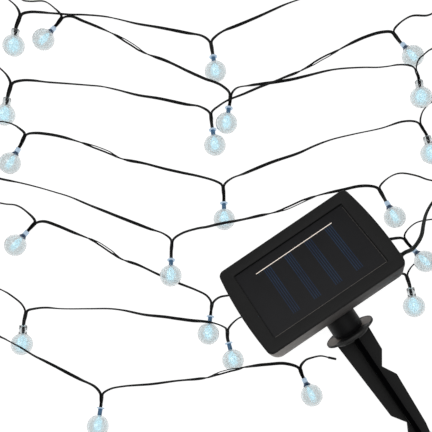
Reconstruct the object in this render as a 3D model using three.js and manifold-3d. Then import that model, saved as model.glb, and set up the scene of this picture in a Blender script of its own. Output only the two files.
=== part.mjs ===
// Solar string lights: a ground-stake solar unit, its flat lead and a string of small globe lamps,
// laid out on a table. Millimetres, +Z up, the table is z = 0.
import * as THREE from "three";
import { mergeVertices } from "three/addons/utils/BufferGeometryUtils.js";
import Module from "manifold-3d";

const wasm = await Module();
wasm.setup();

// ---- driving dimensions -------------------------------------------------------------------------

// Running gap between pieces that touch.
const gap = 0.3;

// Solar housing. Its own frame: X along the long side, Y up the face, Z out of the face.
const caseWidth = 137;
const caseHeight = 90;
const caseDepth = 20.5;
const caseBow = 3; // how far each short side swells at its middle
const caseCorner = 5;
const caseDraft = 0.3; // how much smaller the back is, on each side
const caseWall = 2.2;
const caseFront = 6; // thickness of the front wall under the rim
const recessWidth = 115;
const recessHeight = 68;
const recessDepth = 2;
const solarThickness = 2;
const windowMargin = 7; // ledge that the solar plate rests on
const coverThickness = 2.5;
const gasketThickness = 1.2;
const gasketWidth = 1.6;

// Fasteners.
const postRadius = 3.2;
const postInset = 6.5;
const screwShank = 1.3;
const screwHead = 2.4;
const screwHeadHeight = 1.5;
const screwLength = 8;

// Electronics.
const boardSize = [32, 40, 1.6];
const boardCentre = [-38, -1];
const boardFloor = 4; // height of the board over the cover's inner face
const cellRadius = 7.1;
const cellLength = 50;
const cellCentre = [40, -3];
const cellTop = 6.8; // depth of the cell's top under the rim
const contactThickness = 0.6;
const springLength = 4;
const springWire = 0.5;
const springTurns = 3;
const doorThickness = 1.6;
const doorLip = 4;
const doorShell = 1.4;
const buttonRadius = 4;
const buttonFlange = 5;
const buttonProud = 0.9;
const buttonSpacing = 18;
const glandRadius = 3.2;
const glandFlange = 0.8; // how far its inner flange stands out from its bore
const glandProud = 2.2;
const glandPlace = [33, 10.2]; // down the face from its centre, and under the rim

// Neck and ground stake, on one axis.
const faceTilt = 30; // degrees between the solar face and the stake's axis
const neckRadius = 14.2;
const neckWall = 3;
const bossLength = 36.7; // from the housing's back, along the axis
const bossBore = 11.7;
const bossBoreDepth = 15;
const neckLength = 19;
const spigotDepth = 14;
const ringSection = 0.75;
const ringFromEnd = 7;
const flangeRadius = 23.5;
const flangeThickness = 1.8;
const collarRadius = 16;
const collarLength = 4.4;
const stakeSpigot = 18;
const bladeThickness = 3.2;
const bladeTop = 16.4; // half-width of a blade under the collar
const bladeLength = 151;
const bladeTip = 1.2;
const notchPitch = 26.8; // from one blade edge's notch to the next edge's
const firstNotch = 37;
const notchHalfLength = 12.9;
const notchDepth = 8;

// Lamps.
const globeRadius = 10;
const socketReach = 16.5; // from the globe's centre to the socket's end
const socketRadius = 3.7;
const socketWaist = 2.9;

// Cords.
const cordRadius = 1.1;
const dropRadius = 1.6; // the two wires that go down to a socket
const leadRadius = 1.8;
const cordStep = 11;
const coilCentre = [258, 6];
const coilMiddle = 20;
const coilTurnsWide = 4;
const coilTurnsHigh = 3;
const coilLift = 1.3;
const tieThickness = 0.8;
const tieWidth = 4;
const endCapLength = 7;
const endCapRadius = 1.5;

// Where the solar unit lies on the table, and where the table layout's centre is in the part's frame.
const unitPlace = [86.7, -55.5];
const unitTurn = 34.2; // degrees
const layoutCentre = [-105.1, 104.2, 0];

// ---- the string's route on the table ---------------------------------------------------------------
// Each lamp: globe centre x, y, the bearing of its socket in degrees, how far a cord under it lifts
// it, and the point where its two wires part.
const lamps = [
  [186.5, 228, -142, 0, [165, 212, 1.2]],
  [-0.5, 131.5, 98, 0, [-5, 161, 1.2]],
  [-184, 155, 91, 0, [-180, 186, 1.2]],
  [-157, 160.5, 56, 0, [-141.5, 183.5, 1.2]],
  [9.5, 84.5, 81, 0, [13.5, 113, 1.2]],
  [186.5, 108, 90, 0, [180, 134, 13.5]],
  [179, 145.5, 122, 0, [163, 170, 1.2]],
  [-1, 64.5, 98, 0, [-5, 95.5, 1.2]],
  [-192.5, 92, 88, 0, [-188.5, 122.5, 1.2]],
  [-187.5, 48, 66, 0, [-175.5, 75.5, 1.2]],
  [7.5, -3, 91, 0, [6.5, 28.5, 1.2]],
  [196, 57, 98, 0, [187.5, 86, 1.2]],
  [162.5, -1, 113, 0, [150, 26, 1.2]],
  [-41, -54, 91, 2.2, [-40.5, -22, 1.2]],
  [-219, 62.5, -72, 0, [-210.5, 37, 1.2]],
  [-182.5, -26.5, 53, 0, [-166, -5.5, 1.2]],
  [-7, -107, 83, 0, [-3.5, -79.5, 1.2]],
  [189.5, -41, 129, 2.2, [173, -20, 1.2]],
  [180, -82, 95, 0, [175.5, -54, 1.2]],
  [15.5, -131, 105, 0, [10.5, -104, 2.5]],
  [-176.5, -116.5, 92, 0, [-175, -87.5, 1.2]],
  [-107.5, -191, 84, 0, [-105.5, -164, 1.2]],
  [87, -163, 115, 0, [77, -139.5, 1.2]],
];

// The cord between each lamp and the next: x, y, and a height where it rides over something. The
// rows name the piece of cord that each span belongs to.
const spans = [
  ["a", [[151.5, 214], [134.5, 213], [114.5, 209.5], [94, 205], [76, 199.5], [63.5, 195],
    [54.5, 191], [38, 183.5], [19, 175.5], [7.5, 171], [0, 166]]],
  ["a", [[-12.5, 166], [-27.5, 169], [-53, 174], [-73.5, 177.5], [-90, 181.5], [-102.5, 184],
    [-123, 185.5, 2], [-134, 185, 4], [-142.5, 185.5, 4.5], [-152.5, 186.5, 3.5], [-163.5, 188],
    [-172.5, 188]]],
  ["a", [[-184, 193], [-191, 199.5], [-199.5, 206.5], [-203, 217.5], [-197.5, 229.5],
    [-186.5, 237], [-174.5, 236], [-170.5, 227], [-176, 216], [-181.5, 206.5], [-179, 199.5],
    [-171.5, 198], [-158.5, 198], [-151, 193.5]]],
  ["b", [[-133, 184], [-123, 180], [-110.5, 175], [-94, 167.5], [-78.5, 158.5], [-66, 150.5],
    [-47, 143.5], [-36, 138.5], [-27.5, 134, 3], [-17.5, 128, 10], [-8.5, 123, 15.5],
    [-2, 120.5, 17.5], [5.5, 118, 12]]],
  ["b", [[19, 118], [31.5, 120.5], [51, 123], [70, 126], [82.5, 129], [108, 135], [133.5, 137],
    [149.5, 137, 2], [157.5, 137, 6], [164.5, 137, 12], [173, 135.5, 17]]],
  ["b", [[181, 140, 21.5], [185, 143.5, 20.5], [189.5, 147.5, 17], [197, 152.5, 8.5], [207, 157.5, 3], [220.5, 158.5],
    [229.5, 168], [230.5, 184.5], [225, 199.5], [214, 205], [206.5, 196.5], [201, 188],
    [195, 185], [180.5, 184.5], [169, 177.5]]],
  ["c", [[152.5, 169.5], [140, 166], [127, 160.5], [108, 150.5], [96.5, 144.5], [86.5, 138.5],
    [76, 133], [62.5, 127.5, 2.5], [51, 122.5, 4.2], [38.5, 118, 2.5], [25.5, 112.5, 2],
    [17.5, 109, 4.5], [11, 106, 6.5], [3.5, 102, 3]]],
  ["c", [[-15, 101], [-27.5, 103], [-53, 108.5], [-72, 111.5], [-91.5, 116.5], [-105.5, 119.5],
    [-116.5, 120.5], [-135.5, 122], [-156, 123.5], [-169, 125], [-179, 125]]],
  ["c", [[-193, 130], [-199.5, 136.5], [-208.5, 144], [-221.5, 144], [-230.5, 133],
    [-233.5, 114.5], [-230.5, 98], [-223, 86.5, 1.5], [-211, 82.5, 7], [-200, 84, 15.5],
    [-192, 84.5, 19.8], [-186, 83.5, 19.3], [-183, 82.5, 12], [-180.5, 80.5, 5]]],
  ["d", [[-167.5, 76.5], [-155, 75.5], [-142, 73], [-120.5, 66.5], [-100, 59], [-87.5, 53],
    [-66, 48.5], [-47, 43.5], [-31.5, 40], [-15, 36.5], [0, 32]]],
  ["d", [[14, 34.5], [25.5, 39], [51, 49.5], [76, 58], [91.5, 65], [106.5, 70.5], [127, 75.5],
    [152.5, 81], [171.5, 87], [181.5, 87.5]]],
  ["d", [[190, 95], [194.5, 101.5], [199.5, 105.5], [210.5, 110], [221.5, 104], [226, 88.5],
    [226, 70], [225, 51.5], [217.5, 38], [206.5, 32.5], [195.5, 33.5], [185.5, 37], [171.5, 39.5],
    [164, 38], [155, 32]]],
  ["e", [[143.5, 27.5], [132, 27.5], [118, 24.5], [94, 19], [81.5, 14.5], [66, 7.5], [54.5, 3.5],
    [38.5, 0, 2.5], [27.5, -2.5, 9], [17, -4.5, 18.2], [8, -6, 22], [-1, -8, 18.5],
    [-9, -10, 10.5], [-17.5, -11.5, 3.5], [-31.5, -16]]],
  ["e", [[-48, -16.5], [-62, -11.5], [-77.5, -5.5], [-91.5, 0], [-104, 5], [-116.5, 10],
    [-135.5, 18], [-148.5, 22], [-164, 26.5], [-180, 30.5], [-199.5, 34.5]]],
  ["e", [[-217.5, 33], [-229, 27.5], [-234.5, 15], [-234.5, -2], [-229.5, -16.5], [-219.5, -26],
    [-208.5, -24], [-204, -13], [-208.5, -2], [-209.5, 7.5], [-203, 12], [-193.5, 11],
    [-184.5, 10], [-176.5, 5.5]]],
  ["f", [[-158.5, -5], [-146, -9], [-133, -14.5], [-111.5, -23.5], [-97.5, -32.5],
    [-87.5, -39.5], [-72, -45], [-53, -54], [-33, -62.5], [-19, -68], [-8.5, -73.5]]],
  ["f", [[3, -75], [12.5, -73], [31.5, -68.5], [54.5, -60], [77.5, -50.5], [100.5, -41.5],
    [123.5, -32.5], [144, -25.5], [159.5, -21.5]]],
  ["f", [[175, -15], [184, -6.5], [199.5, -3], [212, -2.5], [225, -8.5], [233.5, -20.5],
    [234.5, -35], [229.5, -49], [219.5, -56.5], [209.5, -52.5], [201, -44.5], [192, -41],
    [182.5, -44.5]]],
  ["g", [[168, -53], [151.5, -56], [133, -60.5], [110, -67], [86.5, -73.5], [63.5, -80.5],
    [42.5, -87], [30.5, -91], [20.5, -94.5]]],
  ["g", [[6, -100.5, 8.5], [0, -97.5, 12.3], [-6, -96, 13.3], [-12.5, -95.5, 11],
    [-21.5, -96, 4.5], [-33, -95], [-47, -93], [-66, -91], [-85, -87], [-97.5, -85.5],
    [-116.5, -85.5], [-142, -85.5], [-157.5, -84.5], [-167.5, -85.5]]],
  ["g", [[-179, -81.5], [-186.5, -75], [-195, -69.5], [-204, -66.5], [-211.5, -73],
    [-213, -86.5], [-208.5, -100.5], [-200, -109, 5], [-190, -111.5, 13.5], [-180.5, -114, 20.8],
    [-174, -117, 22], [-169, -121.5, 18.5], [-164.5, -127.5, 10], [-159, -132.5, 3.5],
    [-147.5, -139], [-125.5, -150.5], [-111.5, -157.5]]],
  ["h", [[-97.5, -159.5], [-85, -157], [-59.5, -155], [-36.5, -152], [-15, -150],
    [-7.5, -148.5, 3], [0, -144.5, 8.5], [7.5, -140.5, 15.5], [15, -137.5, 20],
    [20, -137, 18.8], [24.5, -136.5, 15.5], [34, -137, 7], [44.5, -137], [63.5, -136]]],
];
const tail = [[82.5, -133, 1.2], [89, -130.5, 1.2], [97, -129, 1.2], [104, -130.5, 1.5]];

// The flat lead: from the housing to its coil, and from the coil to the first lamp.
const leadOut = [[161.5, -33, 45.5], [169, -28.5, 41], [177, -22, 33], [182.5, -16, 24.5],
  [187, -7.5, 15], [192, 2, 7], [199, 12, 2.5], [208, 20.5, 2], [221, 27, 2], [234, 31.5, 2.5],
  [245, 33.8, 3.1]];
const leadBack = [[228.7, 12, 9], [229, 28, 8.5], [233, 45, 4], [238, 62, 2], [240, 100, 2],
  [240, 140, 2], [243, 180, 2], [243, 205, 2], [234, 228, 2], [214, 243, 2], [192, 246, 2],
  [173, 238.5, 2], [163.5, 226, 2]];

// ---- materials ---------------------------------------------------------------------------------

const finish = (color, roughness, metalness = 0) => () =>
  new THREE.MeshStandardMaterial({ color, roughness, metalness });
const housingPlastic = finish(0x262626, 0.55);
const stakePlastic = finish(0x222222, 0.6);
const solarFilm = finish(0x1b1c20, 0.35);
const blackRubber = finish(0x161616, 0.8);
const steel = finish(0xb8bcc0, 0.35, 0.9);
const boardGreen = finish(0x1c5c38, 0.5);
const cellWrap = finish(0x3a7d4a, 0.4);
const clearAcrylic = finish(0xdfe6e8, 0.1);
const cordJacket = finish(0x0e1112, 0.6);
const leadJacket = finish(0x2c312f, 0.6);
const tiePaper = finish(0x8d9490, 0.7);

// ---- geometry helpers ----------------------------------------------------------------------------

function solidOf(geometry) {
  const bare = geometry.index ? geometry.toNonIndexed() : geometry.clone();
  bare.deleteAttribute("normal");
  bare.deleteAttribute("uv");
  const merged = mergeVertices(bare, 1e-4);
  return new wasm.Manifold(
    new wasm.Mesh({
      numProp: 3,
      vertProperties: new Float32Array(merged.attributes.position.array),
      triVerts: new Uint32Array(merged.index.array),
    }),
  );
}

function geometryOf(solid) {
  const mesh = solid.getMesh();
  const geometry = new THREE.BufferGeometry();
  geometry.setAttribute("position", new THREE.BufferAttribute(mesh.vertProperties, mesh.numProp));
  geometry.setIndex(new THREE.BufferAttribute(mesh.triVerts, 1));
  geometry.computeVertexNormals();
  return geometry;
}

function join(first, ...others) {
  return geometryOf(others.reduce((whole, next) => whole.add(solidOf(next)), solidOf(first)));
}

function cut(first, ...tools) {
  return geometryOf(tools.reduce((whole, tool) => whole.subtract(solidOf(tool)), solidOf(first)));
}

function block(x0, x1, y0, y1, z0, z1) {
  const geometry = new THREE.BoxGeometry(x1 - x0, y1 - y0, z1 - z0);
  return geometry.translate((x0 + x1) / 2, (y0 + y1) / 2, (z0 + z1) / 2);
}

function prism(shape, z0, z1, curveSegments = 4) {
  const options = { depth: z1 - z0, bevelEnabled: false, curveSegments };
  return new THREE.ExtrudeGeometry(shape, options).translate(0, 0, z0);
}

// A solid of revolution about Z from [radius, height] pairs, lowest first.
function turned(profile, sides = 20) {
  const points = profile.map(([r, h]) => new THREE.Vector2(r, h));
  return new THREE.LatheGeometry(points, sides).rotateX(Math.PI / 2);
}

function rod(radius, z0, z1, sides = 16) {
  return turned([[0, z0], [radius, z0], [radius, z1], [0, z1]], sides);
}

// A closed ring of revolution about Z.
function ring(inner, outer, z0, z1, sides = 24) {
  return turned([[inner, z0], [outer, z0], [outer, z1], [inner, z1], [inner, z0]], sides);
}

// A rectangle with round corners and short sides that swell outwards.
function swollenPlate(width, height, bow, corner) {
  const x = width / 2;
  const y = height / 2;
  const shape = new THREE.Shape();
  shape.moveTo(-x + corner, -y);
  shape.lineTo(x - corner, -y);
  shape.quadraticCurveTo(x, -y, x, -y + corner);
  shape.quadraticCurveTo(x + 2 * bow, 0, x, y - corner);
  shape.quadraticCurveTo(x, y, x - corner, y);
  shape.lineTo(-x + corner, y);
  shape.quadraticCurveTo(-x, y, -x, y - corner);
  shape.quadraticCurveTo(-x - 2 * bow, 0, -x, -y + corner);
  shape.quadraticCurveTo(-x, -y, -x + corner, -y);
  return shape;
}

// Narrows a prism towards its back by the moulding draft.
function withDraft(geometry) {
  const place = geometry.attributes.position;
  for (let i = 0; i < place.count; i += 1) {
    const depth = -place.getZ(i) / caseDepth;
    place.setX(i, place.getX(i) * (1 - (depth * caseDraft) / (caseWidth / 2)));
    place.setY(i, place.getY(i) * (1 - (depth * caseDraft) / (caseHeight / 2)));
  }
  return geometry;
}

// One stretch of a curve, from one share of its length to another, kept above a floor.
class Stretch extends THREE.Curve {
  constructor(whole, from, to, floor) {
    super();
    Object.assign(this, { whole, from, to, floor });
  }
  getPoint(t, target) {
    const point = this.whole.getPointAt(this.from + (this.to - this.from) * t, target);
    point.z = Math.max(point.z, this.floor);
    return point;
  }
}

function tube(points, radius, trimStart = 0, trimEnd = 0, step = cordStep) {
  const places = points.map(([x, y, z]) => new THREE.Vector3(x, y, z));
  const curve = new THREE.CatmullRomCurve3(places, false, "centripetal");
  const length = curve.getLength();
  const path = new Stretch(curve, trimStart / length, 1 - trimEnd / length, radius + 0.1);
  const sides = 8;
  const section = new THREE.Shape(
    Array.from({ length: sides }, (_, i) => {
      const angle = ((i + 0.5) / sides) * 2 * Math.PI;
      return new THREE.Vector2(radius * Math.cos(angle), radius * Math.sin(angle));
    }),
  );
  const steps = Math.max(3, Math.round((length - trimStart - trimEnd) / step));
  return new THREE.ExtrudeGeometry(section, { steps, extrudePath: path });
}

function piece(name, geometry, material, parent) {
  const mesh = new THREE.Mesh(geometry, material());
  mesh.name = name;
  parent.add(mesh);
  return mesh;
}

// ---- frames --------------------------------------------------------------------------------------

const tilt = THREE.MathUtils.degToRad(faceTilt);
const object = new THREE.Group();
object.position.set(...layoutCentre);

// The unit lies on its flange and on the back edge of its housing, so the axis is as high as the
// flange's radius, and it meets the housing's back this far below the middle.
const bossOffset = flangeRadius / Math.sin(tilt) - (caseHeight / 2 - caseDraft);
const unit = new THREE.Group();
unit.position.set(unitPlace[0], unitPlace[1], flangeRadius);
unit.rotation.z = THREE.MathUtils.degToRad(unitTurn);
object.add(unit);

const head = new THREE.Group();
head.rotation.x = -tilt;
head.position.set(
  0,
  bossOffset * Math.cos(tilt) + caseDepth * Math.sin(tilt),
  caseDepth * Math.cos(tilt) - bossOffset * Math.sin(tilt),
);
unit.add(head);

// Along the neck and stake: local Z runs from the housing to the stake's tip.
const axle = new THREE.Group();
axle.rotation.x = Math.PI / 2;
unit.add(axle);
unit.updateMatrixWorld(true);
const axleInHead = head.matrixWorld.clone().invert().multiply(axle.matrixWorld);

// ---- housing ---------------------------------------------------------------------------------------

const innerWidth = caseWidth - 2 * (caseDraft + caseWall);
const innerHeight = caseHeight - 2 * (caseDraft + caseWall);
const coverFace = caseDepth - coverThickness; // depth of the cover's inner face
const gasketFloor = coverFace - gap - gasketThickness;
const postPlaces = [[-1, -1], [1, -1], [1, 1], [-1, 1]].map(([x, y]) => [
  x * (innerWidth / 2 - postInset),
  y * (innerHeight / 2 - postInset),
]);
const screwClear = screwShank + gap;
const cellAxis = cellTop + cellRadius; // depth of the cell's axis
const bayLength = cellLength + springLength + 2 * contactThickness + 4 * gap;
const bayWidth = 2 * (cellRadius + gap);
const glandStart = caseWidth / 2 - 6.5; // its inner end
const flangeStep = 1.6; // thickness of its inner flange
const seatPlace = caseDepth - screwHeadHeight;

// The room that the gland's inner flange needs, with half a gap all round.
function glandSeat() {
  return rod(glandRadius + glandFlange + gap / 2, glandStart - gap / 2, glandStart + flangeStep + gap / 2, 12)
    .rotateY(Math.PI / 2)
    .translate(0, -glandPlace[0], -glandPlace[1]);
}

function frontCase() {
  const outer = withDraft(
    prism(swollenPlate(caseWidth, caseHeight, caseBow, caseCorner), -caseDepth, 0, 5),
  );
  const cavity = swollenPlate(innerWidth, innerHeight, caseBow, caseCorner - 1);
  const plateX = recessWidth / 2;
  const plateY = recessHeight / 2;
  const seat = recessDepth + solarThickness + gap;
  const shell = cut(
    outer,
    prism(cavity, -caseDepth - 1, -caseFront),
    block(-plateX, plateX, -plateY, plateY, -seat, 1),
    block(
      -plateX + windowMargin, plateX - windowMargin,
      -plateY + windowMargin, plateY - windowMargin,
      -caseFront - 1, -recessDepth,
    ),
  );
  const posts = postPlaces.map(([x, y]) =>
    rod(postRadius, -gasketFloor + gap, -caseFront + 0.5, 10).translate(x, y, 0),
  );
  const holes = postPlaces.map(([x, y]) =>
    rod(screwClear, -gasketFloor, -seatPlace + screwLength + gap, 8).translate(x, y, 0),
  );
  const leadHole = rod(glandRadius + gap, caseWidth / 2 - 12, caseWidth / 2 + 12, 12)
    .rotateY(Math.PI / 2)
    .translate(0, -glandPlace[0], -glandPlace[1]);
  return cut(join(shell, ...posts), ...holes, leadHole, glandSeat());
}

function backCover() {
  const plate = prism(
    swollenPlate(innerWidth - 2 * gap, innerHeight - 2 * gap, caseBow, caseCorner - 1),
    -caseDepth, -coverFace,
  );
  const boss = turned([[0, -40], [neckRadius, -40], [neckRadius, bossLength], [0, bossLength]], 28);
  boss.applyMatrix4(axleInHead);
  const inside = block(-caseWidth, caseWidth, -caseHeight, caseHeight, -coverFace - 0.5, 60);
  const outside = cut(boss, inside);
  const bore = rod(bossBore, bossLength - bossBoreDepth, bossLength + 1, 28);
  bore.applyMatrix4(axleInHead);
  const [cx, cy] = cellCentre;
  const bay = block(
    cx - bayWidth / 2, cx + bayWidth / 2, cy - bayLength / 2, cy + bayLength / 2,
    -caseDepth - 1, -coverFace + 1,
  );
  const screwHoles = postPlaces.flatMap(([x, y]) => [
    rod(screwClear, -caseDepth - 1, -coverFace + 1, 8).translate(x, y, 0),
    rod(screwHead + gap, -caseDepth - 1, -seatPlace + gap, 12).translate(x, y, 0),
  ]);
  const buttonHoles = [-1, 1].map((side) =>
    rod(buttonRadius + gap, -caseDepth - 1, -coverFace + 1, 14)
      .translate(boardCentre[0], boardCentre[1] + (side * buttonSpacing) / 2, 0),
  );
  const doorHole = rod(screwClear, -caseDepth - 1, -coverFace + 1, 8)
    .translate(cx, cy + bayLength / 2 + doorLip + 1, 0);
  const standoffs = [-1, 1].map((side) =>
    rod(2, -coverFace - 0.5, -coverFace + boardFloor - gap, 8).translate(
      boardCentre[0] + side * (boardSize[0] / 2 - 3), boardCentre[1] + boardSize[1] / 2 - 3, 0,
    ),
  );
  return cut(
    join(plate, outside, ...standoffs), bore, bay, ...screwHoles, ...buttonHoles, doorHole,
  );
}

function gasket() {
  const outer = swollenPlate(innerWidth - 2 * gap, innerHeight - 2 * gap, caseBow, caseCorner - 1);
  const inner = swollenPlate(
    innerWidth - 2 * gap - 2 * gasketWidth, innerHeight - 2 * gap - 2 * gasketWidth,
    caseBow, caseCorner - 2,
  );
  const top = -gasketFloor;
  const bottom = top - gasketThickness;
  return cut(prism(outer, bottom, top), prism(inner, bottom - 1, top + 1), glandSeat());
}

function solarPanel() {
  const x = recessWidth / 2 - gap;
  const y = recessHeight / 2 - gap;
  return block(-x, x, -y, y, -recessDepth - solarThickness, -recessDepth);
}

function screw(length) {
  const top = -seatPlace + length;
  return turned(
    [[0, -caseDepth + gap], [screwHead, -caseDepth + gap], [screwHead, -seatPlace],
      [screwShank, -seatPlace], [screwShank, top - 1], [0, top]],
    10,
  );
}

function button() {
  const out = -caseDepth - buttonProud;
  const seat = -coverFace + gap;
  return turned(
    [[0, out], [buttonRadius - 0.6, out], [buttonRadius, out + 0.6], [buttonRadius, seat],
      [buttonFlange, seat], [buttonFlange, seat + 0.8], [0, seat + 0.8]],
    14,
  );
}

function batteryDoor() {
  const [cx, cy] = cellCentre;
  const top = -caseDepth - gap;
  const x = bayWidth / 2;
  const y = bayLength / 2;
  const bulge = -(cellAxis + cellRadius + gap + doorShell);
  const door = join(
    block(cx - x - doorLip, cx + x + doorLip, cy - y - doorLip, cy + y + 3 * doorLip,
      top - doorThickness, top),
    block(cx - x - doorShell, cx + x + doorShell, cy - y - doorShell, cy + y + doorShell,
      bulge, top - 0.5),
  );
  return cut(
    door,
    block(cx - x, cx + x, cy - y, cy + y, bulge + doorShell, top + 1),
    rod(screwClear, top - 5, top + 1, 8).translate(cx, cy + y + doorLip + 1, 0),
  );
}

function doorScrew() {
  const head = -caseDepth - gap - doorThickness - gap;
  return turned(
    [[0, head - screwHeadHeight], [screwHead, head - screwHeadHeight], [screwHead, head],
      [screwShank, head], [screwShank, head + 5], [0, head + 6]],
    10,
  ).translate(cellCentre[0], cellCentre[1] + bayLength / 2 + doorLip + 1, 0);
}

function batterySpring() {
  const turns = [];
  const steps = springTurns * 10;
  for (let i = 0; i <= steps; i += 1) {
    const angle = (i / 10) * 2 * Math.PI;
    const radius = 4.5 - (1.8 * i) / steps;
    turns.push(
      new THREE.Vector3(
        radius * Math.cos(angle), springWire + ((springLength - 2 * springWire) * i) / steps,
        radius * Math.sin(angle),
      ),
    );
  }
  const section = new THREE.Shape(
    Array.from({ length: 6 }, (_, i) => {
      const angle = (i / 6) * 2 * Math.PI;
      return new THREE.Vector2(springWire * Math.cos(angle), springWire * Math.sin(angle));
    }),
  );
  const path = new THREE.CatmullRomCurve3(turns);
  return new THREE.ExtrudeGeometry(section, { steps: 30, extrudePath: path });
}

function addHousing() {
  piece("front_case", frontCase(), housingPlastic, head);
  piece("solar_panel", solarPanel(), solarFilm, head);
  piece("back_cover", backCover(), housingPlastic, head);
  piece("case_gasket", gasket(), blackRubber, head);
  postPlaces.forEach(([x, y], i) => {
    piece(`case_screw_${i + 1}`, screw(screwLength), steel, head).position.set(x, y, 0);
  });
  const [bx, by, bz] = boardSize;
  const board = block(-bx / 2, bx / 2, -by / 2, by / 2, 0, bz);
  piece("circuit_board", board, boardGreen, head).position.set(
    boardCentre[0], boardCentre[1], -coverFace + boardFloor,
  );
  ["power_button", "mode_button"].forEach((name, i) => {
    const y = boardCentre[1] + ((i ? -1 : 1) * buttonSpacing) / 2;
    piece(name, button(), blackRubber, head).position.set(boardCentre[0], y, 0);
  });
  const [cx, cy] = cellCentre;
  const bayStart = cy - bayLength / 2;
  const plate = block(
    cx - cellRadius, cx + cellRadius, 0, contactThickness, -cellAxis - 5, -cellAxis + 5,
  );
  piece("battery_spring_plate", plate, steel, head).position.y = bayStart + gap;
  const spring = batterySpring().translate(cx, 0, -cellAxis);
  piece("battery_spring", spring, steel, head).position.y =
    bayStart + contactThickness + 2 * gap;
  const cellStart = bayStart + contactThickness + 2 * gap + springLength + gap;
  const nub = 1.2;
  const cell = turned(
    [[0, 0], [cellRadius, 0], [cellRadius, cellLength - nub], [2.8, cellLength - nub],
      [2.8, cellLength], [0, cellLength]],
    20,
  ).rotateX(-Math.PI / 2);
  piece("battery_cell", cell, cellWrap, head).position.set(cx, cellStart, -cellAxis);
  piece("battery_contact", plate.clone(), steel, head).position.y =
    cellStart + cellLength + gap;
  piece("battery_door", batteryDoor(), housingPlastic, head);
  piece("battery_door_screw", doorScrew(), steel, head);
}

// The gland sits in the right-hand wall, with the lead in its bore's mouth.
const glandWall = caseWidth / 2;
function addGland() {
  const outer = glandWall + caseBow * 0.35 + glandProud;
  const step = glandStart + flangeStep;
  const gland = turned(
    [[0, glandStart], [glandRadius + glandFlange, glandStart], [glandRadius + glandFlange, step],
      [glandRadius, step], [glandRadius, outer - 0.8], [glandRadius - 0.8, outer],
      [0, outer]],
    14,
  ).rotateY(Math.PI / 2);
  piece("cable_gland", gland, blackRubber, head).position.set(0, -glandPlace[0], -glandPlace[1]);
  const mouth = new THREE.Vector3(outer + gap, -glandPlace[0], -glandPlace[1]);
  const away = new THREE.Vector3(outer + gap + 3, -glandPlace[0], -glandPlace[1]);
  object.updateMatrixWorld(true);
  return [mouth, away].map((p) => object.worldToLocal(head.localToWorld(p)).toArray());
}

// ---- neck and stake --------------------------------------------------------------------------------

const neckStart = bossLength + gap;
const neckEnd = neckStart + neckLength;
const spigotRadius = bossBore - gap;
const boreRadius = neckRadius - neckWall - 1;
const wireBore = 6.5;

function neckTube() {
  const top = neckStart - spigotDepth;
  const groove = neckStart - ringFromEnd;
  const grooveRadius = spigotRadius - 2 * ringSection - gap;
  const half = ringSection + gap;
  return turned(
    [[wireBore, top], [spigotRadius, top], [spigotRadius, groove - half],
      [grooveRadius, groove - half], [grooveRadius, groove + half],
      [spigotRadius, groove + half], [spigotRadius, neckStart], [neckRadius, neckStart],
      [neckRadius, neckEnd], [boreRadius, neckEnd], [boreRadius, neckStart + 1],
      [wireBore, neckStart - 1], [wireBore, top]],
    28,
  );
}

function oRing() {
  const groove = neckStart - ringFromEnd;
  const middle = spigotRadius - ringSection - gap / 2;
  const profile = [];
  for (let i = 0; i <= 6; i += 1) {
    const angle = -(i / 6) * 2 * Math.PI;
    profile.push([middle - ringSection * Math.cos(angle), groove + ringSection * Math.sin(angle)]);
  }
  return turned(profile, 24);
}

// One pair of blades in the XZ plane, with a notch in each edge at the given distances.
function bladePair(notches, z0) {
  const edge = (distance) => {
    const share = distance / bladeLength;
    const slow = bladeTop - 5.8 * Math.min(share / 0.66, 1);
    return share < 0.66 ? slow : slow + (bladeTip - slow) * ((share - 0.66) / 0.34);
  };
  const side = (sign, notch) => {
    const points = [[0, bladeTop]];
    [notch - notchHalfLength, notch, notch + notchHalfLength].forEach((distance, i) => {
      points.push([distance, edge(distance) - (i === 1 ? notchDepth : 0)]);
    });
    if (notch + notchHalfLength < bladeLength * 0.66) {
      points.push([bladeLength * 0.66, edge(bladeLength * 0.66)]);
    }
    points.push([bladeLength, bladeTip]);
    return points.map(([distance, x]) => new THREE.Vector2(sign * x, distance));
  };
  const outline = [...side(1, notches[0]), ...side(-1, notches[1]).reverse()];
  const slab = prism(new THREE.Shape(outline), -bladeThickness / 2, bladeThickness / 2);
  return slab.rotateX(Math.PI / 2).translate(0, 0, z0);
}

function groundStake() {
  const flangeTop = neckEnd + gap;
  const flangeBottom = flangeTop + flangeThickness;
  const collarEnd = flangeBottom + collarLength;
  const body = turned(
    [[0, collarEnd], [collarRadius, collarEnd], [collarRadius, flangeBottom],
      [flangeRadius, flangeBottom], [flangeRadius, flangeTop], [boreRadius - gap, flangeTop],
      [boreRadius - gap, flangeTop - stakeSpigot], [0, flangeTop - stakeSpigot]].reverse(),
    32,
  );
  const level = bladePair([firstNotch, firstNotch + 2 * notchPitch], collarEnd - 1);
  const upright = bladePair(
    [firstNotch + 3 * notchPitch, firstNotch + notchPitch], collarEnd - 1,
  ).rotateZ(Math.PI / 2);
  return join(body, level, upright);
}

function addNeckAndStake() {
  piece("neck_tube", neckTube(), stakePlastic, axle);
  piece("neck_o_ring", oRing(), blackRubber, axle);
  piece("ground_stake", groundStake(), stakePlastic, axle);
}

// ---- lamps and cords -------------------------------------------------------------------------------

// Globe, neck and socket as one solid about Z, with the globe's centre at the origin.
function lampShape() {
  const profile = [];
  const neckAngle = Math.asin(socketWaist / globeRadius);
  const rings = 6;
  for (let i = 0; i <= rings; i += 1) {
    const angle = Math.PI - ((Math.PI - neckAngle) * i) / rings;
    profile.push([globeRadius * Math.sin(angle), globeRadius * Math.cos(angle)]);
  }
  profile[0][0] = 0;
  profile.push([socketWaist, globeRadius + 3], [socketRadius, socketReach], [0, socketReach]);
  return turned(profile, 10);
}

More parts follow.
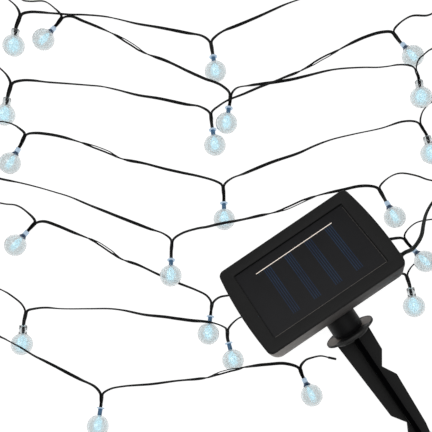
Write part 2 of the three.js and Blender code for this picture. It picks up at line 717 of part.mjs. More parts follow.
// Tilted so that the globe and the socket's rim both rest on the table.
function lampTilt(lift) {
  const drop = globeRadius + lift - gap;
  const reach = Math.hypot(socketReach, socketRadius);
  return Math.asin(drop / reach) - Math.atan2(socketRadius, socketReach);
}

function lampFrame([x, y, bearing, lift]) {
  const down = lampTilt(lift);
  const turn = THREE.MathUtils.degToRad(bearing);
  const axis = new THREE.Vector3(
    Math.cos(down) * Math.cos(turn), Math.cos(down) * Math.sin(turn), -Math.sin(down),
  );
  const centre = new THREE.Vector3(x, y, globeRadius + lift);
  return { axis, centre, socket: centre.clone().addScaledVector(axis, socketReach) };
}

function lampDrop(lamp) {
  const { axis, socket } = lampFrame(lamp);
  const [jx, jy, jz] = lamp[4];
  const start = socket.clone().addScaledVector(axis, gap);
  const next = socket.clone().addScaledVector(axis, 4);
  next.z = Math.max(next.z, dropRadius + 0.2);
  const end = [jx, jy, Math.max(jz, dropRadius + 0.1)];
  return tube([start.toArray(), next.toArray(), end], dropRadius, 0, 0, 5);
}

function addLamps() {
  const shape = lampShape();
  lamps.forEach((lamp, i) => {
    const name = `lamp_${String(i + 1).padStart(2, "0")}`;
    const mesh = piece(name, shape, clearAcrylic, object);
    const { axis, centre } = lampFrame(lamp);
    mesh.quaternion.setFromUnitVectors(new THREE.Vector3(0, 0, 1), axis);
    mesh.position.copy(centre);
  });
}

const onTable = ([x, y, z = 1.2]) => [x, y, z];

// The cord's rows: each is the spans that carry its letter and the drops that they start from. A
// row stops just short of the next row's first lamp.
function addStringCords() {
  const rows = new Map();
  const add = (row, solid) => rows.set(row, [...(rows.get(row) ?? []), solid]);
  const shortOfDrop = dropRadius + 2 * gap;
  spans.forEach(([row, points], i) => {
    const nextRow = i + 1 < spans.length ? spans[i + 1][0] : row;
    const route = [lamps[i][4], ...points.map(onTable), lamps[i + 1][4]];
    add(row, lampDrop(lamps[i]));
    add(row, tube(route, cordRadius, 0, nextRow === row ? 0 : shortOfDrop));
  });
  const last = lamps[lamps.length - 1];
  const lastRow = spans[spans.length - 1][0];
  add(lastRow, lampDrop(last));
  add(lastRow, tube([last[4], ...tail], cordRadius));
  rows.forEach((solids, row) => {
    piece(`string_cord_${row}`, join(...solids), cordJacket, object);
  });
}

function addEndCap() {
  const [from, to] = [tail[tail.length - 2], tail[tail.length - 1]];
  const along = new THREE.Vector3(to[0] - from[0], to[1] - from[1], 0).normalize();
  const cap = rod(endCapRadius, gap, gap + endCapLength, 10);
  const mesh = piece("string_end_cap", cap, blackRubber, object);
  mesh.quaternion.setFromUnitVectors(new THREE.Vector3(0, 0, 1), along);
  mesh.position.set(to[0], to[1], endCapRadius + 0.1);
}

function addLead(mouth) {
  piece("lead_from_panel", tube([...mouth, ...leadOut], leadRadius), leadJacket, object);
  const halfWidth = coilTurnsWide * leadRadius;
  const height = 2 * coilTurnsHigh * leadRadius;
  const coil = ring(coilMiddle - halfWidth, coilMiddle + halfWidth, coilLift, coilLift + height);
  piece("lead_coil", coil, leadJacket, object).position.set(...coilCentre, 0);
  const first = lamps[0][4];
  const back = tube([...leadBack, first], leadRadius, 0, dropRadius + leadRadius + gap);
  piece("lead_to_string", back, leadJacket, object);
  const x = halfWidth + gap;
  const z0 = coilLift - gap;
  const z1 = coilLift + height + gap;
  const half = tieWidth / 2;
  const tie = cut(
    block(-x - tieThickness, x + tieThickness, -half, half, z0 - tieThickness, z1 + tieThickness),
    block(-x, x, -half - 1, half + 1, z0, z1),
  );
  piece("coil_tie", tie, tiePaper, object).position.set(
    coilCentre[0] + coilMiddle, coilCentre[1], 0,
  );
}

addHousing();
const leadMouth = addGland();
addNeckAndStake();
addLamps();
addStringCords();
addEndCap();
addLead(leadMouth);

export default object;
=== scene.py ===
"""Solar string lights on a white table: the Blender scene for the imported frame. Metres, +Z up."""

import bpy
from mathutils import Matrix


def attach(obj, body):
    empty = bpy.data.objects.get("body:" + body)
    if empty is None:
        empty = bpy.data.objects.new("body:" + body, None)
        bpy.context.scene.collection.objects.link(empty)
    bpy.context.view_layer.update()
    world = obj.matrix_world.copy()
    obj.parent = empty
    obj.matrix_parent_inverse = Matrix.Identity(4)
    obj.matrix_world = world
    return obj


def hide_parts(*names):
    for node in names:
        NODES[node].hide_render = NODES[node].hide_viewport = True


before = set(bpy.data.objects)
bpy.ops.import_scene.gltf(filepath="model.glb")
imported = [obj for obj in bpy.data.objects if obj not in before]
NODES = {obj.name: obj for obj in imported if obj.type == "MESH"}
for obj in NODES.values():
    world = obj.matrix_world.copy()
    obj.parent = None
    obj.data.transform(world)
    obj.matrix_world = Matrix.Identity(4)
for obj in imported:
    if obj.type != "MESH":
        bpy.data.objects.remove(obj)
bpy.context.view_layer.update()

import math

import bmesh
import bpy
from mathutils import Matrix, Vector

# ---- where things lie ---------------------------------------------------------------------------

# The middle of the table layout in the part's frame. The camera looks straight down on it.
LAYOUT_CENTRE = Vector((-0.1051, 0.1042, 0))
CAMERA_HEIGHT = 0.6

camera_data = bpy.data.cameras.new("camera")
camera_data.lens = 54.09
camera_data.sensor_width = 36
camera_data.clip_start = 0.01
camera = bpy.data.objects.new("camera", camera_data)
camera.location = LAYOUT_CENTRE + Vector((0, 0, CAMERA_HEIGHT))
bpy.context.scene.collection.objects.link(camera)
bpy.context.scene.camera = camera

# ---- routes of the free cords -------------------------------------------------------------------
# Each lamp: the look of its socket, globe centre x and y, the bearing of its socket in degrees,
# how far a cord under it lifts it, and the point where its two cords part.
LAMPS = [
    ("A", (0.1865, 0.228), -142, 0, (0.165, 0.212, 0.0012)),
    ("B", (-0.0005, 0.1315), 98, 0, (-0.005, 0.161, 0.0012)),
    ("A", (-0.184, 0.155), 91, 0, (-0.18, 0.186, 0.0012)),
    ("C", (-0.157, 0.1605), 56, 0, (-0.1415, 0.1835, 0.0012)),
    ("B", (0.0095, 0.0845), 81, 0, (0.0135, 0.113, 0.0012)),
    ("A", (0.1865, 0.108), 90, 0, (0.18, 0.134, 0.0135)),
    ("C", (0.179, 0.1455), 122, 0, (0.163, 0.17, 0.0012)),
    ("B", (-0.001, 0.0645), 98, 0, (-0.005, 0.0955, 0.0012)),
    ("A", (-0.1925, 0.092), 88, 0, (-0.1885, 0.1225, 0.0012)),
    ("C", (-0.1875, 0.048), 66, 0, (-0.1755, 0.0755, 0.0012)),
    ("B", (0.0075, -0.003), 91, 0, (0.0065, 0.0285, 0.0012)),
    ("A", (0.196, 0.057), 98, 0, (0.1875, 0.086, 0.0012)),
    ("C", (0.1625, -0.001), 113, 0, (0.15, 0.026, 0.0012)),
    ("B", (-0.041, -0.054), 91, 0.0022, (-0.0405, -0.022, 0.0012)),
    ("A", (-0.219, 0.0625), -72, 0, (-0.2105, 0.037, 0.0012)),
    ("C", (-0.1825, -0.0265), 53, 0, (-0.166, -0.0055, 0.0012)),
    ("B", (-0.007, -0.107), 83, 0, (-0.0035, -0.0795, 0.0012)),
    ("C", (0.1895, -0.041), 129, 0.0022, (0.173, -0.02, 0.0012)),
    ("A", (0.18, -0.082), 95, 0, (0.1755, -0.054, 0.0012)),
    ("B", (0.0155, -0.131), 105, 0, (0.0105, -0.104, 0.0025)),
    ("A", (-0.1765, -0.1165), 92, 0, (-0.175, -0.0875, 0.0012)),
    ("B", (-0.1075, -0.191), 84, 0, (-0.1055, -0.164, 0.0012)),
    ("C", (0.087, -0.163), 115, 0, (0.077, -0.1395, 0.0012)),
]
SPANS = [
    [
        (0.1515, 0.214), (0.1345, 0.213), (0.1145, 0.2095), (0.094, 0.205), (0.076, 0.1995),
        (0.0635, 0.195), (0.0545, 0.191), (0.038, 0.1835), (0.019, 0.1755), (0.0075, 0.171),
        (0, 0.166),
    ],
    [
        (-0.0125, 0.166), (-0.0275, 0.169), (-0.053, 0.174), (-0.0735, 0.1775), (-0.09, 0.1815),
        (-0.1025, 0.184), (-0.123, 0.1855, 0.002), (-0.134, 0.185, 0.004),
        (-0.1425, 0.1855, 0.0045), (-0.1525, 0.1865, 0.0035), (-0.1635, 0.188), (-0.1725, 0.188),
    ],
    [
        (-0.184, 0.193), (-0.191, 0.1995), (-0.1995, 0.2065), (-0.203, 0.2175), (-0.1975, 0.2295),
        (-0.1865, 0.237), (-0.1745, 0.236), (-0.1705, 0.227), (-0.176, 0.216), (-0.1815, 0.2065),
        (-0.179, 0.1995), (-0.1715, 0.198), (-0.1585, 0.198), (-0.151, 0.1935),
    ],
    [
        (-0.133, 0.184), (-0.123, 0.18), (-0.1105, 0.175), (-0.094, 0.1675), (-0.0785, 0.1585),
        (-0.066, 0.1505), (-0.047, 0.1435), (-0.036, 0.1385), (-0.0275, 0.134, 0.003),
        (-0.0175, 0.128, 0.01), (-0.0085, 0.123, 0.0155), (-0.002, 0.1205, 0.0175),
        (0.0055, 0.118, 0.012),
    ],
    [
        (0.019, 0.118), (0.0315, 0.1205), (0.051, 0.123), (0.07, 0.126), (0.0825, 0.129),
        (0.108, 0.135), (0.1335, 0.137), (0.1495, 0.137, 0.002), (0.1575, 0.137, 0.006),
        (0.1645, 0.137, 0.012), (0.173, 0.1355, 0.017),
    ],
    [
        (0.181, 0.14, 0.0215), (0.185, 0.1435, 0.0205), (0.1895, 0.1475, 0.017),
        (0.197, 0.1525, 0.0085), (0.207, 0.1575, 0.003), (0.2205, 0.1585), (0.2295, 0.168),
        (0.2305, 0.1845), (0.225, 0.1995), (0.214, 0.205), (0.2065, 0.1965), (0.201, 0.188),
        (0.195, 0.185), (0.1805, 0.1845), (0.169, 0.1775),
    ],
    [
        (0.1525, 0.1695), (0.14, 0.166), (0.127, 0.1605), (0.108, 0.1505), (0.0965, 0.1445),
        (0.0865, 0.1385), (0.076, 0.133), (0.0625, 0.1275, 0.0025), (0.051, 0.1225, 0.0042),
        (0.0385, 0.118, 0.0025), (0.0255, 0.1125, 0.002), (0.0175, 0.109, 0.0045),
        (0.011, 0.106, 0.0065), (0.0035, 0.102, 0.003),
    ],
    [
        (-0.015, 0.101), (-0.0275, 0.103), (-0.053, 0.1085), (-0.072, 0.1115), (-0.0915, 0.1165),
        (-0.1055, 0.1195), (-0.1165, 0.1205), (-0.1355, 0.122), (-0.156, 0.1235), (-0.169, 0.125),
        (-0.179, 0.125),
    ],
    [
        (-0.193, 0.13), (-0.1995, 0.1365), (-0.2085, 0.144), (-0.2215, 0.144), (-0.2305, 0.133),
        (-0.2335, 0.1145), (-0.2305, 0.098), (-0.223, 0.0865, 0.0015), (-0.211, 0.0825, 0.007),
        (-0.2, 0.084, 0.0155), (-0.192, 0.0845, 0.0198), (-0.186, 0.0835, 0.0193),
        (-0.183, 0.0825, 0.012), (-0.1805, 0.0805, 0.005),
    ],
    [
        (-0.1675, 0.0765), (-0.155, 0.0755), (-0.142, 0.073), (-0.1205, 0.0665), (-0.1, 0.059),
        (-0.0875, 0.053), (-0.066, 0.0485), (-0.047, 0.0435), (-0.0315, 0.04), (-0.015, 0.0365),
        (0, 0.032),
    ],
    [
        (0.014, 0.0345), (0.0255, 0.039), (0.051, 0.0495), (0.076, 0.058), (0.0915, 0.065),
        (0.1065, 0.0705), (0.127, 0.0755), (0.1525, 0.081), (0.1715, 0.087), (0.1815, 0.0875),
    ],
    [
        (0.19, 0.095), (0.1945, 0.1015), (0.1995, 0.1055), (0.2105, 0.11), (0.2215, 0.104),
        (0.226, 0.0885), (0.226, 0.07), (0.225, 0.0515), (0.2175, 0.038), (0.2065, 0.0325),
        (0.1955, 0.0335), (0.1855, 0.037), (0.1715, 0.0395), (0.164, 0.038), (0.155, 0.032),
    ],
    [
        (0.1435, 0.0275), (0.132, 0.0275), (0.118, 0.0245), (0.094, 0.019), (0.0815, 0.0145),
        (0.066, 0.0075), (0.0545, 0.0035), (0.0385, 0, 0.0025), (0.0275, -0.0025, 0.009),
        (0.017, -0.0045, 0.0182), (0.008, -0.006, 0.022), (-0.001, -0.008, 0.0185),
        (-0.009, -0.01, 0.0105), (-0.0175, -0.0115, 0.0035), (-0.0315, -0.016),
    ],
    [
        (-0.048, -0.0165), (-0.062, -0.0115), (-0.0775, -0.0055), (-0.0915, 0), (-0.104, 0.005),
        (-0.1165, 0.01), (-0.1355, 0.018), (-0.1485, 0.022), (-0.164, 0.0265), (-0.18, 0.0305),
        (-0.1995, 0.0345),
    ],
    [
        (-0.2175, 0.033), (-0.229, 0.0275), (-0.2345, 0.015), (-0.2345, -0.002),
        (-0.2295, -0.0165), (-0.2195, -0.026), (-0.2085, -0.024), (-0.204, -0.013),
        (-0.2085, -0.002), (-0.2095, 0.0075), (-0.203, 0.012), (-0.1935, 0.011), (-0.1845, 0.01),
        (-0.1765, 0.0055),
    ],
    [
        (-0.1585, -0.005), (-0.146, -0.009), (-0.133, -0.0145), (-0.1115, -0.0235),
        (-0.0975, -0.0325), (-0.0875, -0.0395), (-0.072, -0.045), (-0.053, -0.054),
        (-0.033, -0.0625), (-0.019, -0.068), (-0.0085, -0.0735),
    ],
    [
        (0.003, -0.075), (0.0125, -0.073), (0.0315, -0.0685), (0.0545, -0.06), (0.0775, -0.0505),
        (0.1005, -0.0415), (0.1235, -0.0325), (0.144, -0.0255), (0.1595, -0.0215),
    ],
    [
        (0.175, -0.015), (0.184, -0.0065), (0.1995, -0.003), (0.212, -0.0025), (0.225, -0.0085),
        (0.2335, -0.0205), (0.2345, -0.035), (0.2295, -0.049), (0.2195, -0.0565),
        (0.2095, -0.0525), (0.201, -0.0445), (0.192, -0.041), (0.1825, -0.0445),
    ],
    [
        (0.168, -0.053), (0.1515, -0.056), (0.133, -0.0605), (0.11, -0.067), (0.0865, -0.0735),
        (0.0635, -0.0805), (0.0425, -0.087), (0.0305, -0.091), (0.0205, -0.0945),
    ],
    [
        (0.006, -0.1005, 0.0085), (0, -0.0975, 0.0123), (-0.006, -0.096, 0.0133),
        (-0.0125, -0.0955, 0.011), (-0.0215, -0.096, 0.0045), (-0.033, -0.095), (-0.047, -0.093),
        (-0.066, -0.091), (-0.085, -0.087), (-0.0975, -0.0855), (-0.1165, -0.0855),
        (-0.142, -0.0855), (-0.1575, -0.0845), (-0.1675, -0.0855),
    ],
    [
        (-0.179, -0.0815), (-0.1865, -0.075), (-0.195, -0.0695), (-0.204, -0.0665),
        (-0.2115, -0.073), (-0.213, -0.0865), (-0.2085, -0.1005), (-0.2, -0.109, 0.005),
        (-0.19, -0.1115, 0.0135), (-0.1805, -0.114, 0.0208), (-0.174, -0.117, 0.022),
        (-0.169, -0.1215, 0.0185), (-0.1645, -0.1275, 0.01), (-0.159, -0.1325, 0.0035),
        (-0.1475, -0.139), (-0.1255, -0.1505), (-0.1115, -0.1575),
    ],
    [
        (-0.0975, -0.1595), (-0.085, -0.157), (-0.0595, -0.155), (-0.0365, -0.152),
        (-0.015, -0.15), (-0.0075, -0.1485, 0.003), (0, -0.1445, 0.0085),
        (0.0075, -0.1405, 0.0155), (0.015, -0.1375, 0.02), (0.02, -0.137, 0.0188),
        (0.0245, -0.1365, 0.0155), (0.034, -0.137, 0.007), (0.0445, -0.137), (0.0635, -0.136),
    ],
]
TAIL = [
    (0.0825, -0.133, 0.0012), (0.089, -0.1305, 0.0012), (0.097, -0.129, 0.0012),
    (0.104, -0.1305, 0.0015),
]
LEAD_OUT = [
    (0.169, -0.0285, 0.041), (0.177, -0.022, 0.033),
    (0.1825, -0.016, 0.0245), (0.187, -0.0075, 0.015), (0.192, 0.002, 0.007),
    (0.199, 0.012, 0.0025), (0.208, 0.0205, 0.002), (0.221, 0.027, 0.002), (0.234, 0.0315, 0.0025),
    (0.245, 0.0338, 0.0031),
]
LEAD_BACK = [
    (0.2287, 0.012, 0.009), (0.229, 0.028, 0.0085), (0.233, 0.045, 0.004), (0.238, 0.062, 0.002),
    (0.24, 0.1, 0.002), (0.24, 0.14, 0.002), (0.243, 0.18, 0.002), (0.243, 0.205, 0.002),
    (0.234, 0.228, 0.002), (0.214, 0.243, 0.002), (0.192, 0.246, 0.002), (0.173, 0.2385, 0.002),
    (0.1635, 0.226, 0.002),
]
COIL_CENTRE = (0.258, 0.006)
COIL_MIDDLE = 0.02
COIL_PITCH = 0.0036
# The column that each turn of the coil lies in, counted outwards, and then the layer it lies in.
COIL_COLUMNS = [3, 2, 1, 0, 0, 1, 2, 3, 3, 2, 1, 0]
COIL_START = 95
COIL_END = 180

# How the flat three-core cord twists from one parting to the next: share of the way, its turn in
# degrees about its own line (90 is on edge, so thin from above), and how far apart the cores lie.
# The letters are the looks of the lamps at its two ends.
CORE_RADIUS = 0.0006
OPEN_CORE_RADIUS = 0.00044
CORD_HEIGHT = 0.0015
CLOSE = 0.0009
OPEN = 0.0012
OPEN_SHIFT = 0.00045
TWIST_A_TO_B = [
    (0, 52, CLOSE), (0.1, 60, CLOSE), (0.16, 82, CLOSE), (0.42, 92, CLOSE), (0.52, 112, CLOSE),
    (0.65, 140, CLOSE), (0.78, 165, CLOSE), (0.86, 212, CLOSE), (0.92, 255, CLOSE),
    (1, 235, CLOSE),
]
TWIST_C_TO_B = [
    (0, 45, CLOSE), (0.08, 26, CLOSE), (0.18, 32, CLOSE), (0.26, 80, CLOSE), (0.31, 140, CLOSE),
    (0.345, 168, OPEN), (0.38, 178, OPEN), (0.415, 190, OPEN), (0.45, 232, CLOSE),
    (0.48, 262, CLOSE), (0.54, 330, CLOSE),
    (0.62, 302, CLOSE), (0.75, 318, CLOSE), (0.92, 300, CLOSE), (1, 305, CLOSE),
]
TWIST_LOOP = [(0, 55, CLOSE), (0.08, 82, CLOSE), (0.92, 98, CLOSE), (1, 125, CLOSE)]
TWIST_TAIL = [(0, 50, CLOSE), (0.3, 80, CLOSE), (0.7, 92, CLOSE), (1, 95, CLOSE)]
LEAD_RADIUS = 0.0018


# ---- frames of the solar unit -------------------------------------------------------------------
# The head's X runs along the housing, Y up its face and Z out of it. The axle's Z runs from the
# housing down the neck and the stake.
TILT = math.radians(30)
FLANGE_RADIUS = 0.0235
UNIT_PLACE = (0.0867, -0.0555)
CASE = (0.137, 0.09, 0.0205)
BOSS_OFFSET = FLANGE_RADIUS / math.sin(TILT) - 0.0447
unit_frame = (
    Matrix.Translation(LAYOUT_CENTRE + Vector((*UNIT_PLACE, FLANGE_RADIUS)))
    @ Matrix.Rotation(math.radians(34.2), 4, "Z")
)
head_frame = unit_frame @ Matrix.Translation((
    0,
    BOSS_OFFSET * math.cos(TILT) + CASE[2] * math.sin(TILT),
    CASE[2] * math.cos(TILT) - BOSS_OFFSET * math.sin(TILT),
)) @ Matrix.Rotation(-TILT, 4, "X")
axle_frame = unit_frame @ Matrix.Rotation(math.pi / 2, 4, "X")


# ---- small helpers ------------------------------------------------------------------------------

SHARP_ANGLE = math.radians(35)


def linear(code):
    """The linear colour of a screen colour given as rrggbb."""
    parts = [int(code[i:i + 2], 16) / 255 for i in (0, 2, 4)]
    return tuple(p / 12.92 if p < 0.04045 else ((p + 0.055) / 1.055) ** 2.4 for p in parts)


def part_point(point):
    """A layout point in the part's frame. Cords that lie on the table have no height given."""
    x, y = point[0], point[1]
    z = point[2] if len(point) > 2 else CORD_HEIGHT
    return Vector((x, y, z)) + LAYOUT_CENTRE


def smooth_line(points, step):
    """Points every step along a centripetal Catmull-Rom curve through the given ones."""
    ends = [2 * points[0] - points[1]] + list(points) + [2 * points[-1] - points[-2]]
    dense = []
    for i in range(1, len(ends) - 2):
        p = ends[i - 1:i + 3]
        t = [0.0]
        for a, b in zip(p, p[1:]):
            t.append(t[-1] + max((b - a).length, 1e-6) ** 0.5)
        for k in range(12):
            u = t[1] + (t[2] - t[1]) * k / 12
            a = [
                p[j] * ((t[j + 1] - u) / (t[j + 1] - t[j])) + p[j + 1] * ((u - t[j]) / (t[j + 1] - t[j]))
                for j in range(3)
            ]
            b = [
                a[j] * ((t[j + 2] - u) / (t[j + 2] - t[j])) + a[j + 1] * ((u - t[j]) / (t[j + 2] - t[j]))
                for j in range(2)
            ]
            dense.append(b[0] * ((t[2] - u) / (t[2] - t[1])) + b[1] * ((u - t[1]) / (t[2] - t[1])))
    dense.append(points[-1].copy())
    total = line_length(dense)
    count = max(4, round(total / step))
    even = [dense[0].copy()]
    walked = 0.0
    target = total / count
    for a, b in zip(dense, dense[1:]):
        gap = (b - a).length
        while gap > 0 and walked + gap >= target - 1e-9 and len(even) < count:
            even.append(a.lerp(b, (target - walked) / gap))
            target += total / count
        walked += gap
    even.append(dense[-1].copy())
    return even


def line_length(points):
    return sum((b - a).length for a, b in zip(points, points[1:]))


def shares(points):
    """How far along the line each point is, from 0 to 1."""
    total = line_length(points)
    result = [0.0]
    for a, b in zip(points, points[1:]):
        result.append(result[-1] + (b - a).length / total)
    return result


def between(keys, share):
    """The values at a share of the way, from rows of (share, value, value)."""
    for low, high in zip(keys, keys[1:]):
        if share <= high[0]:
            t = (share - low[0]) / (high[0] - low[0])
            t = t * t * (3 - 2 * t)
            return [a + (b - a) * t for a, b in zip(low[1:], high[1:])]
    return list(keys[-1][1:])


def new_object(name, verts, faces, *materials, smooth=True):
    mesh = bpy.data.meshes.new(name)
    mesh.from_pydata([tuple(v) for v in verts], [], faces)
    mesh.update()
    for material in materials:
        mesh.materials.append(material)
    if smooth:
        mesh.shade_smooth()
    thing = bpy.data.objects.new(name, mesh)
    bpy.context.scene.collection.objects.link(thing)
    return thing


def face_out(thing):
    shape = bmesh.new()
    shape.from_mesh(thing.data)
    bmesh.ops.recalc_face_normals(shape, faces=shape.faces)
    shape.to_mesh(thing.data)
    shape.free()
    return thing


def sweep(line, offsets, radii, sides, verts, faces):
    """Adds a round tube along the line, with an offset (sideways, upwards) and radius per point."""
    first = len(verts)
    last = len(line) - 1
    for i, point in enumerate(line):
        along = (line[min(i + 1, last)] - line[max(i - 1, 0)]).normalized()
        side = Vector((-along.y, along.x, 0))
        side = side.normalized() if side.length > 1e-5 else Vector((1, 0, 0))
        up = along.cross(side)
        middle = point + side * offsets[i][0] - up * offsets[i][1]
        radius = radii[i]
        for k in range(sides):
            angle = 2 * math.pi * k / sides
            verts.append(middle + side * (radius * math.cos(angle)) + up * (radius * math.sin(angle)))
    for i in range(last):
        for k in range(sides):
            a = first + i * sides + k
            b = first + i * sides + (k + 1) % sides
            faces.append((a, b, b + sides, a + sides))
    faces.append(tuple(range(first + sides - 1, first - 1, -1)))
    faces.append(tuple(range(first + last * sides, first + (last + 1) * sides)))


def lathe(name, profile, sides, *materials):
    """A solid of revolution about Z from (radius, height) pairs. Radius 0 makes a pole."""
    verts = []
    faces = []
    rows = []
    for radius, height in profile:
        if radius <= 0:
            rows.append([len(verts)])
            verts.append((0, 0, height))
            continue
        rows.append(list(range(len(verts), len(verts) + sides)))
        for k in range(sides):
            angle = 2 * math.pi * k / sides
            verts.append((radius * math.cos(angle), radius * math.sin(angle), height))
    for low, high in zip(rows, rows[1:]):
        for k in range(sides):
            n = (k + 1) % sides
            if len(low) == 1 and len(high) == 1:
                continue
            if len(low) == 1:
                faces.append((low[0], high[n], high[k]))
            elif len(high) == 1:
                faces.append((low[k], low[n], high[0]))
            else:
                faces.append((low[k], low[n], high[n], high[k]))
    return new_object(name, verts, faces, *materials)


def joined(name, things):
    """One object from several, with the first one's place."""
    bpy.ops.object.select_all(action="DESELECT")
    for thing in things:
        thing.select_set(True)
    bpy.context.view_layer.objects.active = things[0]
    bpy.ops.object.join()
    things[0].name = name
    return things[0]


def placed(thing, matrix):
    """Moves the mesh itself, so that the object keeps the part's frame."""
    thing.data.transform(matrix)
    return thing


def softened(thing, width):
    """Rounds the sharp edges, and keeps flat faces flat."""
    bevel = thing.modifiers.new("bevel", "BEVEL")
    bevel.width = width
    bevel.segments = 2
    bevel.limit_method = "ANGLE"
    bevel.angle_limit = SHARP_ANGLE
    bevel.harden_normals = True
    return thing


# ---- materials ----------------------------------------------------------------------------------

def shader(name):
    material = bpy.data.materials.new(name)
    material.use_nodes = True
    tree = material.node_tree
    return material, tree, tree.nodes["Principled BSDF"]


def node(tree, kind, **values):
    made = tree.nodes.new(kind)
    for key, value in values.items():
        if key in made.inputs:
            made.inputs[key].default_value = value
        else:
            setattr(made, key, value)
    return made


def set_skin(material, **values):
    """Sets sockets of the main shader. A name's underscores stand for spaces."""
    skin = material.node_tree.nodes["Principled BSDF"]
    for key, value in values.items():
        skin.inputs[key.replace("_", " ")].default_value = value


def grained(name, dark, light, roughness, grain=900, depth=0.1):
    """A moulded plastic or rubber: two close colours in soft clouds, and a fine surface grain."""
    material, tree, skin = shader(name)
    place = node(tree, "ShaderNodeTexCoord")
    clouds = node(tree, "ShaderNodeTexNoise", Scale=40, Detail=4)
    ramp = node(tree, "ShaderNodeValToRGB")
    ramp.color_ramp.elements[0].position = 0.35
    ramp.color_ramp.elements[0].color = (*linear(dark), 1)
    ramp.color_ramp.elements[1].position = 0.65
    ramp.color_ramp.elements[1].color = (*linear(light), 1)
    fine = node(tree, "ShaderNodeTexNoise", Scale=grain, Detail=2)
    bump = node(tree, "ShaderNodeBump", Strength=depth, Distance=0.0001)
    wear = node(tree, "ShaderNodeMapRange")
    wear.inputs["To Min"].default_value = roughness - 0.06
    wear.inputs["To Max"].default_value = roughness + 0.06
    link = tree.links.new
    link(place.outputs["Object"], clouds.inputs["Vector"])
    link(place.outputs["Object"], fine.inputs["Vector"])
    link(clouds.outputs["Fac"], ramp.inputs["Fac"])
    link(ramp.outputs["Color"], skin.inputs["Base Color"])
    link(clouds.outputs["Fac"], wear.inputs["Value"])
    link(wear.outputs["Result"], skin.inputs["Roughness"])
    link(fine.outputs["Fac"], bump.inputs["Height"])
    link(bump.outputs["Normal"], skin.inputs["Normal"])
    return material


def clear(name, colour, alpha_low, alpha_high, scale, roughness=0.12, glow=0.0):
    """A see-through plastic whose haze follows small cells, as bubbles in it do."""
    material, tree, skin = shader(name)
    place = node(tree, "ShaderNodeTexCoord")
    cells = node(tree, "ShaderNodeTexVoronoi", Scale=scale)
    haze = node(tree, "ShaderNodeMapRange")
    haze.inputs["From Min"].default_value = 0.1
    haze.inputs["From Max"].default_value = 0.7
    haze.inputs["To Min"].default_value = alpha_low
    haze.inputs["To Max"].default_value = alpha_high
    link = tree.links.new
    link(place.outputs["Object"], cells.inputs["Vector"])
    link(cells.outputs["Distance"], haze.inputs["Value"])
    link(haze.outputs["Result"], skin.inputs["Alpha"])
    skin.inputs["Base Color"].default_value = (*linear(colour), 1)
    skin.inputs["Roughness"].default_value = roughness
    # The emission is painted glow: these see-through parts are no lamps.
    skin.inputs["Emission Color"].default_value = (*linear(colour), 1)
    skin.inputs["Emission Strength"].default_value = glow
    return material


def glass(name, hazy, bright, scale, roughness, bend=1.45):
    """A see-through moulding: light passes through it, a little greyed where its bubbles lie."""
    material, tree, skin = shader(name)
    place = node(tree, "ShaderNodeTexCoord")
    cells = node(tree, "ShaderNodeTexVoronoi", Scale=scale)
    ramp = node(tree, "ShaderNodeValToRGB")
    ramp.color_ramp.elements[0].position = 0.2
    ramp.color_ramp.elements[0].color = (*linear(bright), 1)
    ramp.color_ramp.elements[1].position = 0.6
    ramp.color_ramp.elements[1].color = (*linear(hazy), 1)
    bump = node(tree, "ShaderNodeBump", Strength=0.2, Distance=0.0002)
    link = tree.links.new
    link(place.outputs["Object"], cells.inputs["Vector"])
    link(cells.outputs["Distance"], ramp.inputs["Fac"])
    link(cells.outputs["Distance"], bump.inputs["Height"])
    link(ramp.outputs["Color"], skin.inputs["Base Color"])
    link(bump.outputs["Normal"], skin.inputs["Normal"])
    skin.inputs["Roughness"].default_value = roughness
    skin.inputs["IOR"].default_value = bend
    skin.inputs["Transmission Weight"].default_value = 1.0
    return material


def paint_reflection_along_x(material, start, middle, end):
    """Paints a reflection into a material's colour by how far along the part's X it lies, start to end.
    """
    tree = material.node_tree
    place = node(tree, "ShaderNodeSeparateXYZ")
    span = node(tree, "ShaderNodeMapRange")
    span.inputs["From Min"].default_value = -0.055
    span.inputs["From Max"].default_value = 0.045
    ramp = node(tree, "ShaderNodeValToRGB")
    ramp.color_ramp.elements[0].color = (*linear(start), 1)
    ramp.color_ramp.elements[1].color = (*linear(end), 1)
    ramp.color_ramp.elements.new(0.45).color = (*linear(middle), 1)
    link = tree.links.new
    link(tree.nodes["Texture Coordinate"].outputs["Object"], place.inputs[0])
    link(place.outputs["X"], span.inputs["Value"])
    link(span.outputs["Result"], ramp.inputs["Fac"])
    link(ramp.outputs["Color"], tree.nodes["Principled BSDF"].inputs["Base Color"])


HOUSING = grained("housing_plastic", "1a1a1a", "1f1f1f", 0.55)
# The housing's outer wall: the same black plastic with a painted reflection of the bright table.
WALL_PAINTED_REFLECTION = grained("housing_wall_painted_reflection", "2c2b2a", "4a4745", 0.6)
FILM = grained("solar_film", "141417", "19191c", 0.45, grain=300, depth=0.02)
NAVY = grained("cell_gap", "10131c", "151924", 0.45, grain=300, depth=0.02)
NAVY_LINE = grained("cell_edge", "1d3352", "25405e", 0.45, grain=300, depth=0.02)
# A pale strip for a painted highlight where the recess's edge catches light.
EDGE_HIGHLIGHT = grained("plate_edge_highlight", "5e5954", "6c6660", 0.5, grain=300, depth=0.02)
BUS = grained("bus_line", "f6e8da", "fff4ea", 0.5, grain=300, depth=0.05)
STAKE = grained("stake_plastic", "101011", "151516", 0.55)
PLATE = grained("level_blade", "1c1c1c", "222222", 0.6)
# Painted light: a lighter copy of the stake plastic for the flange's rim and the collar band.
RIM_PAINTED_LIGHT = grained("flange_rim_painted_light", "262625", "2f2f2e", 0.5)
# Painted shade: a near-black copy of the stake plastic for the upright blade and the groove under the
# flange.
UPRIGHT_PAINTED_SHADE = grained("upright_blade_painted_shade", "020203", "040406", 0.7)
